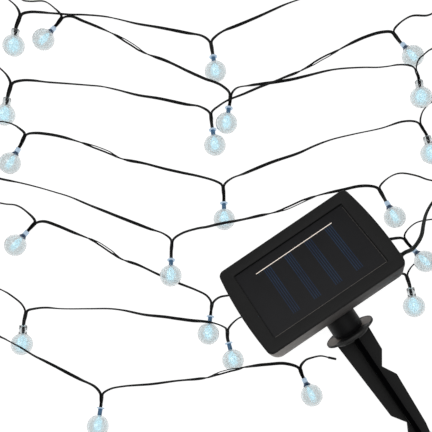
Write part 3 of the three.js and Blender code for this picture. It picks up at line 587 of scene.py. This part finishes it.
# Painted light: a warm, lighter copy of the stake plastic for the ears of the flange's top face.
FLANGE_PAINTED_LIGHT = grained("flange_ears_painted_light", "655b53", "776c63", 0.6)
RUBBER = grained("black_rubber", "101010", "161616", 0.75)
STEEL = grained("nickel_steel", "a9adb0", "babdc0", 0.35, grain=400, depth=0.05)
BOARD = grained("board_green", "17502f", "1c5c38", 0.45)
CELL = grained("cell_wrap", "327044", "3a7d4a", 0.35)
CORD = grained("cord_pvc", "040506", "08090a", 0.55, grain=1500)
LEAD = grained("lead_pvc", "1c211e", "262b28", 0.55, grain=1200)
TIE = grained("tie_paper", "858c88", "969d99", 0.8)
for dull in (HOUSING, WALL_PAINTED_REFLECTION, FILM, NAVY, NAVY_LINE, STAKE, PLATE, CORD, LEAD):
    set_skin(dull, Specular_IOR_Level=0.25)
set_skin(UPRIGHT_PAINTED_SHADE, Specular_IOR_Level=0.02)
set_skin(STEEL, Metallic=1.0)
# The bus line's pale colour is its own; its emission is painted glow, as it is no lamp.
set_skin(BUS, Emission_Color=(*linear("fff0e2"), 1), Emission_Strength=0.4)
# Painted reflection of the table on the housing's wall, lightest at its left end.
paint_reflection_along_x(WALL_PAINTED_REFLECTION, "9a9591", "524f4d", "2e2d2c")
GLOBE = glass("globe_acrylic", "dcdfe0", "f3f4f4", 900, 0.1, bend=1.4)
# Painted glow: the haze, plume and halo in the globe and the pale socket plastic emit light in place of
# the light reaching them.
HAZE = clear("globe_haze", "d2d6d6", 0.2, 0.55, 900, roughness=0.3, glow=0.76)
PLUME = clear("globe_plume", "c0e4ee", 0.9, 0.7, 700, roughness=0.4, glow=0.86)
HALO = clear("globe_halo", "c4e1ea", 0.4, 0.2, 700, roughness=0.4, glow=0.82)
COLLAR = glass("collar_acrylic", "dde0e1", "eceeee", 500, 0.05)
PALE = clear("socket_pale_blue", "c0d6e9", 0.95, 0.85, 500, roughness=0.25, glow=0.28)
BLUE = grained("socket_blue", "4a7396", "5d87ab", 0.35)
DEEP = grained("socket_deep_blue", "1f3d5e", "2c4f73", 0.35)


# ---- cords --------------------------------------------------------------------------------------

SOCKET_REACH = 0.0165
SOCKET_RADIUS = 0.0037
GLOBE_HEIGHT = 0.01


def lamp_frame(lamp):
    """Globe centre, socket direction and the middle of the socket's end, in the part's frame."""
    _, (x, y), bearing, lift, _ = lamp
    reach = math.hypot(SOCKET_REACH, SOCKET_RADIUS)
    down = math.asin((GLOBE_HEIGHT - 0.0003 + lift) / reach) - math.atan2(SOCKET_RADIUS, SOCKET_REACH)
    turn = math.radians(bearing)
    axis = Vector((
        math.cos(down) * math.cos(turn), math.cos(down) * math.sin(turn), -math.sin(down),
    ))
    centre = Vector((x, y, GLOBE_HEIGHT + lift)) + LAYOUT_CENTRE
    return centre, axis, centre + axis * SOCKET_REACH


def parting(lamp):
    x, y, z = lamp[4]
    return Vector((x, y, max(z, 0.0016))) + LAYOUT_CENTRE


def lamp_sides(i):
    """Which side of its drop each of a lamp's two cords lies on: the earlier one and the next."""
    _, axis, _ = lamp_frame(LAMPS[i])
    joint = parting(LAMPS[i])
    leans = []
    for points in (SPANS[i - 1][::-1] if i else None, SPANS[i] if i < len(SPANS) else TAIL):
        if points is None:
            leans.append(0.0)
            continue
        away = (part_point(points[0]) - joint).normalized()
        leans.append(axis.x * away.y - axis.y * away.x)
    return (1, -1) if leans[0] > leans[1] else (-1, 1)


def drop_line(i, side):
    """From a lamp's socket to where its cords part, a little to one side of the middle."""
    _, axis, socket = lamp_frame(LAMPS[i])
    across = Vector((-axis.y, axis.x, 0)).normalized() * side
    inner = socket - axis * (0.0066 if LAMPS[i][0] == "A" else 0.0005)
    joint = parting(LAMPS[i])
    low = socket + axis * 0.004
    low.z = max(low.z, 0.0022)
    middle = low.lerp(joint, 0.5)
    widths = (0.00055, 0.00062, 0.0008, 0.001)
    return [p + across * w for p, w in zip((inner, low, middle, joint), widths)]


def ribbon(line, twist, radius, count=3, sides=8):
    """Round cores side by side along the line, turned about it as the twist rows say. Where three
    cores part, the middle one keeps to its neighbour."""
    verts = []
    faces = []
    keys = [between(twist, share) for share in shares(line)]
    thin = [min(1.0, max(0.0, (gap - CLOSE) / (OPEN - CLOSE))) if count == 3 else 0.0 for _, gap in keys]
    radii = [radius + (OPEN_CORE_RADIUS - radius) * share for share in thin]
    for core in range(count):
        place = core - (count - 1) / 2
        offsets = []
        for (turn, gap), share in zip(keys, thin):
            aside = place * gap + (OPEN_SHIFT * share if place == 0 else 0.0)
            offsets.append((aside * math.cos(math.radians(turn)), aside * math.sin(math.radians(turn))))
        sweep(line, offsets, radii, sides, verts, faces)
    return verts, faces


def declare(name, verts, faces, material, replaced):
    thing = new_object(name, verts, faces, material)
    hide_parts(*replaced)
    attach(thing, "housing")
    return thing


def lead_line():
    """The flat lead from the housing through its coil to the first lamp's drop."""
    points = [head_frame @ Vector((x, -0.033, -0.0102)) for x in (0.0720, 0.0750)]
    points += [part_point(p) for p in LEAD_OUT]
    turns = len(COIL_COLUMNS)
    last = COIL_START - turns * 360 - (COIL_START + 360 - COIL_END) % 360
    angle = COIL_START
    while angle >= last:
        turn = (COIL_START - angle) / 360
        k = min(int(turn), turns)
        into = max(0.0, (turn - k - 0.8) / 0.2)
        here = COIL_COLUMNS[k] if k < turns else 0
        after = COIL_COLUMNS[k + 1] if k + 1 < turns else 0
        column = here + (after - here) * into
        layer = k // 4 + (into if k % 4 == 3 else 0.0)
        if k >= turns:
            column = 3.4 * (turn - turns) / 0.76
            layer = 3 - 0.9 * max(0.0, (turn - turns) / 0.76 - 0.4)
        radius = COIL_MIDDLE + (column - 1.5) * COIL_PITCH + 0.0002 * math.sin(5.1 * turn * 2)
        height = 0.0013 + LEAD_RADIUS + layer * COIL_PITCH
        points.append(Vector((
            COIL_CENTRE[0] + radius * math.cos(math.radians(angle)),
            COIL_CENTRE[1] + radius * math.sin(math.radians(angle)),
            height,
        )) + LAYOUT_CENTRE)
        angle -= 15
    points += [part_point(p) for p in LEAD_BACK[1:]]
    points.append(parting(LAMPS[0]) + Vector((0, 0, 0.0006)))
    return smooth_line(points, 0.002)


LEAD_TWIST = [(0, 0, 0.0017)] + [(0.04 * k, 80 * k, 0.0017) for k in range(1, 26)]
lead = lead_line()
lead_verts, lead_faces = ribbon(lead, LEAD_TWIST, 0.00095, count=2, sides=10)


# ---- the lamps ----------------------------------------------------------------------------------

GLOBE_RADIUS = 0.00985
GLOBE_WALL = 0.0006


def globe_profile(radius, rows=20):
    """A globe from its far pole, open a little where the socket enters it."""
    profile = []
    opening = math.asin(0.0026 / radius)
    for k in range(rows + 1):
        angle = math.pi - (math.pi - opening) * k / rows
        profile.append((radius * math.sin(angle), radius * math.cos(angle)))
    profile[0] = (0, -radius)
    return profile


PLUMES = {"A": (0.0042, -0.0060), "B": (0.0033, -0.0052), "C": (0.0022, -0.0056)}


def plume_profile(look, grow, rows=12):
    """The pale blue core: a drop that widens away from the socket."""
    widest, far = [size * grow for size in PLUMES[look]]
    profile = [(0, far)]
    for k in range(1, rows):
        share = k / rows
        height = far + (0.0086 - far) * share
        profile.append((widest * math.sin(math.pi * (0.12 + share * 0.88)) ** 0.75 + 0.0006, height))
    profile.append((0, 0.0086))
    return profile


def shell(outer, low, high, wall=0.0007):
    """The profile of a plain open sleeve."""
    return [
        (outer - wall, low), (outer, low), (outer, high), (outer - wall, high), (outer - wall, low),
    ]


def lamp_mesh(look):
    wall = globe_profile(GLOBE_RADIUS) + globe_profile(GLOBE_RADIUS - GLOBE_WALL)[::-1]
    globe = lathe("globe", wall, 48, GLOBE)
    haze = lathe("haze", globe_profile(GLOBE_RADIUS - GLOBE_WALL - 0.0001) + [(0, 0.0088)], 32, HAZE)
    plume = lathe("plume", plume_profile(look, 0.85), 24, PLUME)
    halo = lathe("halo", plume_profile(look, 1.25), 24, HALO)
    parts = [globe, haze, plume, halo]
    if look == "A":
        parts.append(lathe("sleeve", shell(0.0037, 0.0090, 0.0168, 0.0008), 32, COLLAR))
    if look == "B":
        parts.append(lathe("holder", [
            (0, 0.0090), (0.0013, 0.0090), (0.0013, 0.0156), (0, 0.0156),
        ], 20, DEEP))
        parts.append(lathe("sleeve", shell(0.0020, 0.0090, 0.0152, 0.0006), 24, BLUE))
        parts.append(lathe("rim", [
            (0.0014, 0.0153), (0.0034, 0.0154), (0.0036, 0.0158), (0.0036, 0.0163),
            (0.0014, 0.0165), (0.0014, 0.0153),
        ], 32, PALE))
    if look == "C":
        parts.append(lathe("cone", [
            (0, 0.0088), (0.0036, 0.0090), (0.0036, 0.0096), (0.0021, 0.0122), (0, 0.0122),
        ], 28, DEEP))
        parts.append(lathe("core", [
            (0, 0.0123), (0.0012, 0.0123), (0.0012, 0.0160), (0, 0.0160),
        ], 16, BLUE))
        parts.append(lathe("sleeve", shell(0.00235, 0.0123, 0.0165, 0.0006), 28, PALE))
    return face_out(joined("lamp_" + look, parts))


lamp_looks = {look: lamp_mesh(look) for look in "ABC"}


def add_lamp(i):
    centre, axis, _ = lamp_frame(LAMPS[i])
    name = f"lamp_{i + 1:02d}"
    lamp = bpy.data.objects.new("shown_" + name, lamp_looks[LAMPS[i][0]].data)
    bpy.context.scene.collection.objects.link(lamp)
    turn = Vector((0, 0, 1)).rotation_difference(axis).to_matrix().to_4x4()
    lamp.matrix_world = Matrix.Translation(centre) @ turn
    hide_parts(name)
    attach(lamp, "housing")
    return lamp


lamps = [add_lamp(i) for i in range(len(LAMPS))]
for pattern in lamp_looks.values():
    bpy.data.objects.remove(pattern)


# ---- the string ---------------------------------------------------------------------------------

# The row of cord in the CAD that each span belongs to.
SPAN_ROWS = "aaabbbcccdddeeefffggghh"
DROP_LENGTHS = [line_length(drop_line(i, 1)) for i in range(len(LAMPS))] + [0.0]


def span_twist(i, from_share, to_share):
    """The twist of a span between its two drops, from the looks of the lamps at its ends."""
    ends = "".join(lamp[0] for lamp in LAMPS[i:i + 2])
    kinds = {"AB": TWIST_A_TO_B, "CB": TWIST_C_TO_B, "AC": TWIST_LOOP, "CA": TWIST_LOOP}
    keys = kinds.get(ends, TWIST_TAIL)
    if ends[::-1] in kinds:
        keys = [(1 - share, turn, gap) for share, turn, gap in kinds[ends[::-1]][::-1]]
    reach = to_share - from_share
    middle = [(from_share + reach * share, turn, gap) for share, turn, gap in keys]
    start = (0, 68 + 180 * (keys[0][1] > 180), CLOSE)
    end = (1, 68 + 180 * (keys[-1][1] > 180), CLOSE)
    return [start] + middle + ([end] if to_share < 1 else [])


def add_span(i):
    side = lamp_sides(i)[1]
    points = drop_line(i, side)
    if i < len(SPANS):
        points += [part_point(p) for p in SPANS[i]]
        points += drop_line(i + 1, lamp_sides(i + 1)[0])[::-1]
    else:
        points += [part_point(p) for p in TAIL]
    line = smooth_line(points, 0.0016)
    for point in line:
        point.z = max(point.z, CORD_HEIGHT)
    total = line_length(line)
    drops = [DROP_LENGTHS[k] / total for k in (i, i + 1)]
    verts, faces = ribbon(line, span_twist(i, drops[0], 1 - drops[1]), CORE_RADIUS)
    return declare(
        f"string_span_{i + 1:02d}", verts, faces, CORD,
        [f"string_cord_{SPAN_ROWS[i]}"],
    )


cap_start = part_point(TAIL[-1])
cap_along = (cap_start - part_point(TAIL[-2])).normalized()
cap_along.z = 0
end_cap = lathe("shown_end_cap", [
    (0, -0.0006), (0.0009, -0.0006), (0.0011, -0.0002), (0.0011, 0.0066), (0.0008, 0.0070),
    (0, 0.0071),
], 20, RUBBER)
cap_turn = Vector((0, 0, 1)).rotation_difference(cap_along.normalized()).to_matrix().to_4x4()
placed(end_cap, Matrix.Translation(cap_start + Vector((0, 0, 0.0001))) @ cap_turn)
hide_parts("string_end_cap")
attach(end_cap, "housing")

for i in range(len(LAMPS)):
    add_span(i)

tie_place = Vector((COIL_CENTRE[0] + COIL_MIDDLE, COIL_CENTRE[1], 0.0067)) + LAYOUT_CENTRE


def rounded_loop(half_width, half_height, corner, count=6):
    points = []
    for k, (sx, sz) in enumerate(((1, 1), (-1, 1), (-1, -1), (1, -1))):
        for j in range(count + 1):
            angle = math.radians(90 * k + 90 * j / count)
            points.append((
                sx * (half_width - corner) + corner * math.cos(angle),
                sz * (half_height - corner) + corner * math.sin(angle),
            ))
    return points


def band_loop(name, inner, thickness, width, material):
    """A flat band that goes round a bundle, from its inner outline in X and Z."""
    verts = []
    faces = []
    count = len(inner)
    for y in (-width / 2, width / 2):
        for grow in (0, thickness):
            for x, z in inner:
                far = math.hypot(x, z)
                verts.append((x * (far + grow) / far, y, z * (far + grow) / far))
    rings = [0, count, 3 * count, 2 * count]
    for low, high in zip(rings, rings[1:] + rings[:1]):
        for k in range(count):
            n = (k + 1) % count
            faces.append((low + k, low + n, high + n, high + k))
    return face_out(new_object(name, verts, faces, material))


tie = band_loop("shown_tie", rounded_loop(0.0074, 0.0057, 0.0025), 0.0006, 0.0034, TIE)
placed(tie, Matrix.Translation(tie_place))
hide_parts("coil_tie")
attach(tie, "housing")
declare(
    "lead", lead_verts, lead_faces, LEAD,
    ["lead_from_panel", "lead_coil", "lead_to_string"],
)


# ---- the solar unit -----------------------------------------------------------------------------

def outline(half_x, half_y, bow, corner, height, along=14, round_count=8):
    """Points of a plate with round corners and bowed short sides, counter-clockwise."""
    points = []
    for k, (sx, sy) in enumerate(((1, 1), (-1, 1), (-1, -1), (1, -1))):
        for j in range(round_count + 1):
            angle = math.radians(90 * k + 90 * j / round_count)
            points.append((
                sx * (half_x - corner) + corner * math.cos(angle),
                sy * (half_y - corner) + corner * math.sin(angle),
            ))
        ax, ay = points[-1]
        nx, ny = (
            ((-1, 1), (-1, -1), (1, -1), (1, 1))[k][0] * (half_x - corner) + (0, -corner, 0, corner)[k],
            ((-1, 1), (-1, -1), (1, -1), (1, 1))[k][1] * (half_y - corner) + (corner, 0, -corner, 0)[k],
        )
        for j in range(1, along):
            points.append((ax + (nx - ax) * j / along, ay + (ny - ay) * j / along))
    bowed = []
    for x, y in points:
        swell = bow * (1 - (y / half_y) ** 2) * (abs(x) / half_x) ** 3
        bowed.append((x + math.copysign(swell, x), y, height))
    return bowed


def loft(name, rings, slots, *materials):
    """A skin through the rings and from the last back to the first, with a material slot per row."""
    verts = [p for ring in rings for p in ring]
    count = len(rings[0])
    faces = []
    for low in range(len(rings)):
        high = (low + 1) % len(rings)
        for k in range(count):
            n = (k + 1) % count
            faces.append((low * count + k, low * count + n, high * count + n, high * count + k))
    thing = new_object(name, verts, faces, *materials)
    for i, face in enumerate(thing.data.polygons):
        face.material_index = slots[i // count]
    return face_out(thing)


CASE_DRAFT = 0.0003
CASE_BOW = 0.003
RIM_ROUND = 0.0017
RECESS_ROUND = 0.0007
LEDGE = -0.0043
FACE_BACK = -0.0060


def case_ring(inset, height, corner=0.005):
    """A ring of the housing's outer wall, drawn in by the draft."""
    draft = -height / CASE[2] * CASE_DRAFT
    return outline(
        CASE[0] / 2 - inset - draft, CASE[1] / 2 - inset - draft, CASE_BOW, corner - inset / 2, height,
    )


def recess_ring(grow, height):
    return outline(0.0575 + grow, 0.034 + grow, 0, 0.0012, height)


def front_case():
    """The housing's shell: wall, rounded rim, recess, the ledge under the plate, and the inside."""
    rings = [case_ring(0, -CASE[2], 0.0085), case_ring(0, -0.0120, 0.0070), case_ring(0, FACE_BACK)]
    for k in range(7):
        angle = math.radians(90 * k / 6)
        rings.append(case_ring(RIM_ROUND * (1 - math.cos(angle)), -RIM_ROUND * (1 - math.sin(angle))))
    rings.append(case_ring(0.0030, 0, 0.006))
    for k in range(5):
        angle = math.radians(90 * k / 4)
        rings.append(recess_ring(
            RECESS_ROUND * (1 - math.sin(angle)), -RECESS_ROUND * (1 - math.cos(angle)),
        ))
    rings += [recess_ring(-0.00005, -0.0030), recess_ring(-0.0001, LEDGE)]
    rings += [recess_ring(-0.0070, height) for height in (LEDGE, FACE_BACK)]
    rings += [outline(0.0660, 0.0425, CASE_BOW, 0.004, height) for height in (FACE_BACK, -CASE[2])]
    # The outer wall's rows take the wall plastic with the painted reflection of the table.
    slots = [1] * 3 + [0] * (len(rings) - 3)
    return loft("shown_front_case", rings, slots, HOUSING, WALL_PAINTED_REFLECTION)


def flat_box(x0, x1, y0, y1, z0, z1, verts, faces):
    first = len(verts)
    for z in (z0, z1):
        verts += [(x0, y0, z), (x1, y0, z), (x1, y1, z), (x0, y1, z)]
    for a, b, c, d in ((3, 2, 1, 0), (4, 5, 6, 7), (0, 1, 5, 4), (1, 2, 6, 5), (2, 3, 7, 6),
                       (3, 0, 4, 7)):
        faces.append((first + a, first + b, first + c, first + d))


def strips(name, rows, material, low, high):
    verts = []
    faces = []
    for x0, x1, y0, y1 in rows:
        flat_box(x0, x1, y0, y1, low, high, verts, faces)
    return new_object(name, verts, faces, material, smooth=False)


def solar_panel():
    """The plate, its pale bus line, and the gaps between its five cells with their bright edges."""
    plate = softened(strips(
        "shown_solar_panel", [(-0.0576, 0.0576, -0.0336, 0.0336)], FILM, -0.004, -0.0021,
    ), 0.0001)
    gaps = []
    edges = []
    for middle in (-0.0292, -0.0077, 0.0140, 0.0354):
        gaps.append((middle - 0.0035, middle + 0.0035, -0.0253, 0.0232))
        for k in range(4):
            x = middle + (k - 1.5) * 0.0020
            edges.append((x - 0.0003, x + 0.0003, -0.0253, 0.0232))
    dark = strips("shown_cell_gaps", gaps, NAVY, -0.0026, -0.00207)
    bright = strips("shown_cell_edges", edges, NAVY_LINE, -0.0025, -0.00204)
    bus = strips("shown_bus_line", [(-0.0400, 0.0405, 0.0239, 0.0246)], BUS, -0.0027, -0.00201)
    # Painted highlight: pale strips along the recess's lower and right edges, where the edge catches
    # light.
    rim = strips(
        "shown_plate_edge", [(-0.0565, 0.0565, -0.0336, -0.0331), (0.0567, 0.0569, -0.033, 0.031)],
        EDGE_HIGHLIGHT, -0.0026, -0.00205,
    )
    return [plate, dark, bright, bus, rim]


def on_node(things, node_name, body, matrix):
    for thing in things:
        placed(thing, matrix)
        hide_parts(node_name)
        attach(thing, body)


on_node([front_case()], "front_case", "housing", head_frame)
on_node(solar_panel(), "solar_panel", "housing", head_frame)


# ---- neck and stake -----------------------------------------------------------------------------

def rounded(profile, size, steps=3):
    """Rounds each corner of a profile that isn't on the axis."""
    result = []
    points = [Vector(p) for p in profile]
    for i, point in enumerate(points):
        if i in (0, len(points) - 1) or point.x <= 0:
            result.append(tuple(point))
            continue
        back = points[i - 1] - point
        ahead = points[i + 1] - point
        cut = min(size, back.length * 0.45, ahead.length * 0.45)
        a = point + back.normalized() * cut
        b = point + ahead.normalized() * cut
        for k in range(steps + 1):
            t = k / steps
            result.append(tuple(a * (1 - t) ** 2 + point * (2 * t * (1 - t)) + b * t ** 2))
    return result


# Radii about the axle, and distances down it.
PLUG_RADIUS = 0.0114
PLUG_BORE = 0.0065
PLUG_TOP = 0.023
SEAT_RADIUS = 0.0096
SEAT_TOP = 0.0289
SEAT_BOTTOM = 0.0311
TUBE_RADIUS = 0.0142
TUBE_BORE = 0.0102
TUBE_TOP = 0.037
TUBE_BOTTOM = 0.056
LIP_RADIUS = 0.0136
neck = lathe("shown_neck_tube", rounded([
    (PLUG_BORE, PLUG_TOP), (PLUG_RADIUS, PLUG_TOP), (PLUG_RADIUS, SEAT_TOP), (SEAT_RADIUS, SEAT_TOP),
    (SEAT_RADIUS, SEAT_BOTTOM), (PLUG_RADIUS, SEAT_BOTTOM), (PLUG_RADIUS, TUBE_TOP),
    (TUBE_RADIUS, TUBE_TOP), (TUBE_RADIUS, TUBE_BOTTOM - 0.0022), (LIP_RADIUS, TUBE_BOTTOM - 0.0012),
    (LIP_RADIUS, TUBE_BOTTOM), (TUBE_BORE, TUBE_BOTTOM), (TUBE_BORE, TUBE_TOP + 0.001),
    (PLUG_BORE, TUBE_TOP - 0.001), (PLUG_BORE, PLUG_TOP),
], 0.0003), 96, STAKE)
on_node([face_out(neck)], "neck_tube", "neck", axle_frame)

FLANGE_TOP = TUBE_BOTTOM + 0.0003
FLANGE_BOTTOM = FLANGE_TOP + 0.0018
COLLAR_END = FLANGE_BOTTOM + 0.0044
SPIGOT_RADIUS = 0.0099
SPIGOT_TOP = FLANGE_TOP - 0.018
GROOVE_RADIUS = 0.0140
COLLAR_RADIUS = 0.0160
flange = lathe("shown_flange", rounded([
    (0, SPIGOT_TOP), (SPIGOT_RADIUS - 0.0004, SPIGOT_TOP), (SPIGOT_RADIUS, SPIGOT_TOP + 0.001),
    (SPIGOT_RADIUS, FLANGE_TOP), (FLANGE_RADIUS - 0.0011, FLANGE_TOP),
    (FLANGE_RADIUS - 0.0009, FLANGE_TOP - 0.0002), (FLANGE_RADIUS, FLANGE_TOP - 0.0002),
    (FLANGE_RADIUS, FLANGE_BOTTOM), (GROOVE_RADIUS, FLANGE_BOTTOM),
    (GROOVE_RADIUS, FLANGE_BOTTOM + 0.0010), (COLLAR_RADIUS, FLANGE_BOTTOM + 0.0014),
    (COLLAR_RADIUS, COLLAR_END - 0.0008), (COLLAR_RADIUS - 0.0008, COLLAR_END), (0, COLLAR_END),
], 0.00025), 128, STAKE, FLANGE_PAINTED_LIGHT, RIM_PAINTED_LIGHT, UPRIGHT_PAINTED_SHADE)
for face in flange.data.polygons:
    x, y, z = face.center
    radius = math.hypot(x, y)
    on_top = face.normal.z < -0.8 and abs(z - FLANGE_TOP) < 0.0002
    # The ears of the flange's top face are painted lighter, where light falls on them.
    if on_top and abs(x) > 0.8 * radius and 0.0145 < radius < 0.0222:
        face.material_index = 1
    # Painted highlight on the flange's outer rim away from the ears, for its lit upper edge.
    if radius > 0.0225 and abs(x) < 0.75 * radius:
        face.material_index = 2
    # Painted shadow in the groove between the flange and the collar.
    if FLANGE_BOTTOM - 0.0001 < z < FLANGE_BOTTOM + 0.0012 and radius < 0.0159:
        face.material_index = 3
    # Painted light on the collar band below the groove.
    if z > FLANGE_BOTTOM + 0.0012 and radius > 0.0158:
        face.material_index = 2


# Widths are from the blade's middle to its edge.
BLADE_LENGTH = 0.151
TAPER_START = 0.66 * BLADE_LENGTH
ROOT_WIDTH = 0.0164
TAPER_WIDTH = 0.0106
TIP_WIDTH = 0.0012
NOTCH_REACH = 0.0129
NOTCH_DEPTH = 0.008


def blade_edge(z):
    """The blade's width at a distance down it, without its notches."""
    if z < TAPER_START:
        return ROOT_WIDTH + (TAPER_WIDTH - ROOT_WIDTH) * z / TAPER_START
    return TAPER_WIDTH + (TIP_WIDTH - TAPER_WIDTH) * (z - TAPER_START) / (BLADE_LENGTH - TAPER_START)


def blade(name, notches, material, half=0.0016, edge_width=0.0004):
    """A long thin blade in the XZ plane, with one notch in each edge, narrower at its tip."""
    rows = []
    for sign, notch in zip((1, -1), notches):
        side = [(0, ROOT_WIDTH)]
        side.append((notch - NOTCH_REACH, blade_edge(notch - NOTCH_REACH)))
        side.append((notch, blade_edge(notch) - NOTCH_DEPTH))
        side.append((notch + NOTCH_REACH, blade_edge(notch + NOTCH_REACH)))
        if notch + NOTCH_REACH < TAPER_START:
            side.append((TAPER_START, TAPER_WIDTH))
        side.append((BLADE_LENGTH, TIP_WIDTH))
        rows.append([(sign * x, z) for z, x in side])
    points = rows[0] + rows[1][::-1]
    verts = [(x, -half, z) for x, z in points] + [(x, half, z) for x, z in points]
    count = len(points)
    faces = [tuple(range(count)), tuple(range(2 * count - 1, count - 1, -1))]
    for k in range(count):
        n = (k + 1) % count
        faces.append((k, n, n + count, k + count))
    thing = face_out(new_object(name, verts, faces, material))
    thing.data.shade_flat()
    return softened(thing, edge_width)


blades = [
    blade("shown_level_blade", (0.0370, 0.0906), PLATE),
    # The upright blade takes the near-black plastic with painted shade.
    blade("shown_upright_blade", (0.1174, 0.0638), UPRIGHT_PAINTED_SHADE, 0.0021, 0.00015),
]
blade_frame = axle_frame @ Matrix.Translation((0, 0, COLLAR_END - 0.001))
on_node([face_out(flange)], "ground_stake", "stake", axle_frame)
on_node(blades[:1], "ground_stake", "stake", blade_frame)
on_node(
    blades[1:], "ground_stake", "stake",
    blade_frame @ Matrix.Rotation(math.pi / 2, 4, "Z"),
)

# ---- the pieces that keep the CAD's own shape ---------------------------------------------------

CAD_FINISH = {
    "back_cover": HOUSING, "case_gasket": RUBBER, "circuit_board": BOARD, "power_button": RUBBER,
    "mode_button": RUBBER, "battery_spring_plate": STEEL, "battery_spring": STEEL,
    "battery_cell": CELL, "battery_contact": STEEL, "battery_door": HOUSING,
    "battery_door_screw": STEEL, "cable_gland": RUBBER, "neck_o_ring": RUBBER,
    "case_screw_1": STEEL, "case_screw_2": STEEL, "case_screw_3": STEEL, "case_screw_4": STEEL,
}
for name, material in CAD_FINISH.items():
    thing = NODES[name]
    thing.data.materials.clear()
    thing.data.materials.append(material)
    thing.data.shade_smooth()
    thing.data.set_sharp_from_angle(angle=SHARP_ANGLE)

# ---- floor and light ----------------------------------------------------------------------------

floor_material, floor_tree, floor_skin = shader("white_table")
floor_skin.inputs["Base Color"].default_value = (0.3, 0.3, 0.3, 1)
floor_skin.inputs["Roughness"].default_value = 0.9
floor_skin.inputs["Specular IOR Level"].default_value = 0.0
floor_skin.inputs["Emission Color"].default_value = (1, 1, 1, 1)
floor_skin.inputs["Emission Strength"].default_value = 0.95
floor = new_object(
    "table", [(-3, -3, 0), (3, -3, 0), (3, 3, 0), (-3, 3, 0)], [(0, 1, 2, 3)], floor_material,
    smooth=False,
)
floor.location = LAYOUT_CENTRE + Vector((0, 0, -0.0002))

world = bpy.data.worlds.new("studio")
world.use_nodes = True
world.node_tree.nodes["Background"].inputs["Color"].default_value = (1, 1, 1, 1)
world.node_tree.nodes["Background"].inputs["Strength"].default_value = 0.22
bpy.context.scene.world = world


def lamp_light(name, place, size, power):
    data = bpy.data.lights.new(name, "AREA")
    data.shape = "DISK"
    data.size = size
    data.energy = power
    light = bpy.data.objects.new(name, data)
    light.location = LAYOUT_CENTRE + Vector(place)
    aim = (LAYOUT_CENTRE - light.location).normalized()
    light.rotation_euler = aim.to_track_quat("-Z", "Y").to_euler()
    bpy.context.scene.collection.objects.link(light)


lamp_light("key", (-0.35, 0.5, 1.3), 0.9, 6)
lamp_light("fill", (0.7, -0.5, 1.2), 0.8, 2)

bpy.context.scene.view_settings.view_transform = "Standard"

bpy.context.view_layer.update()
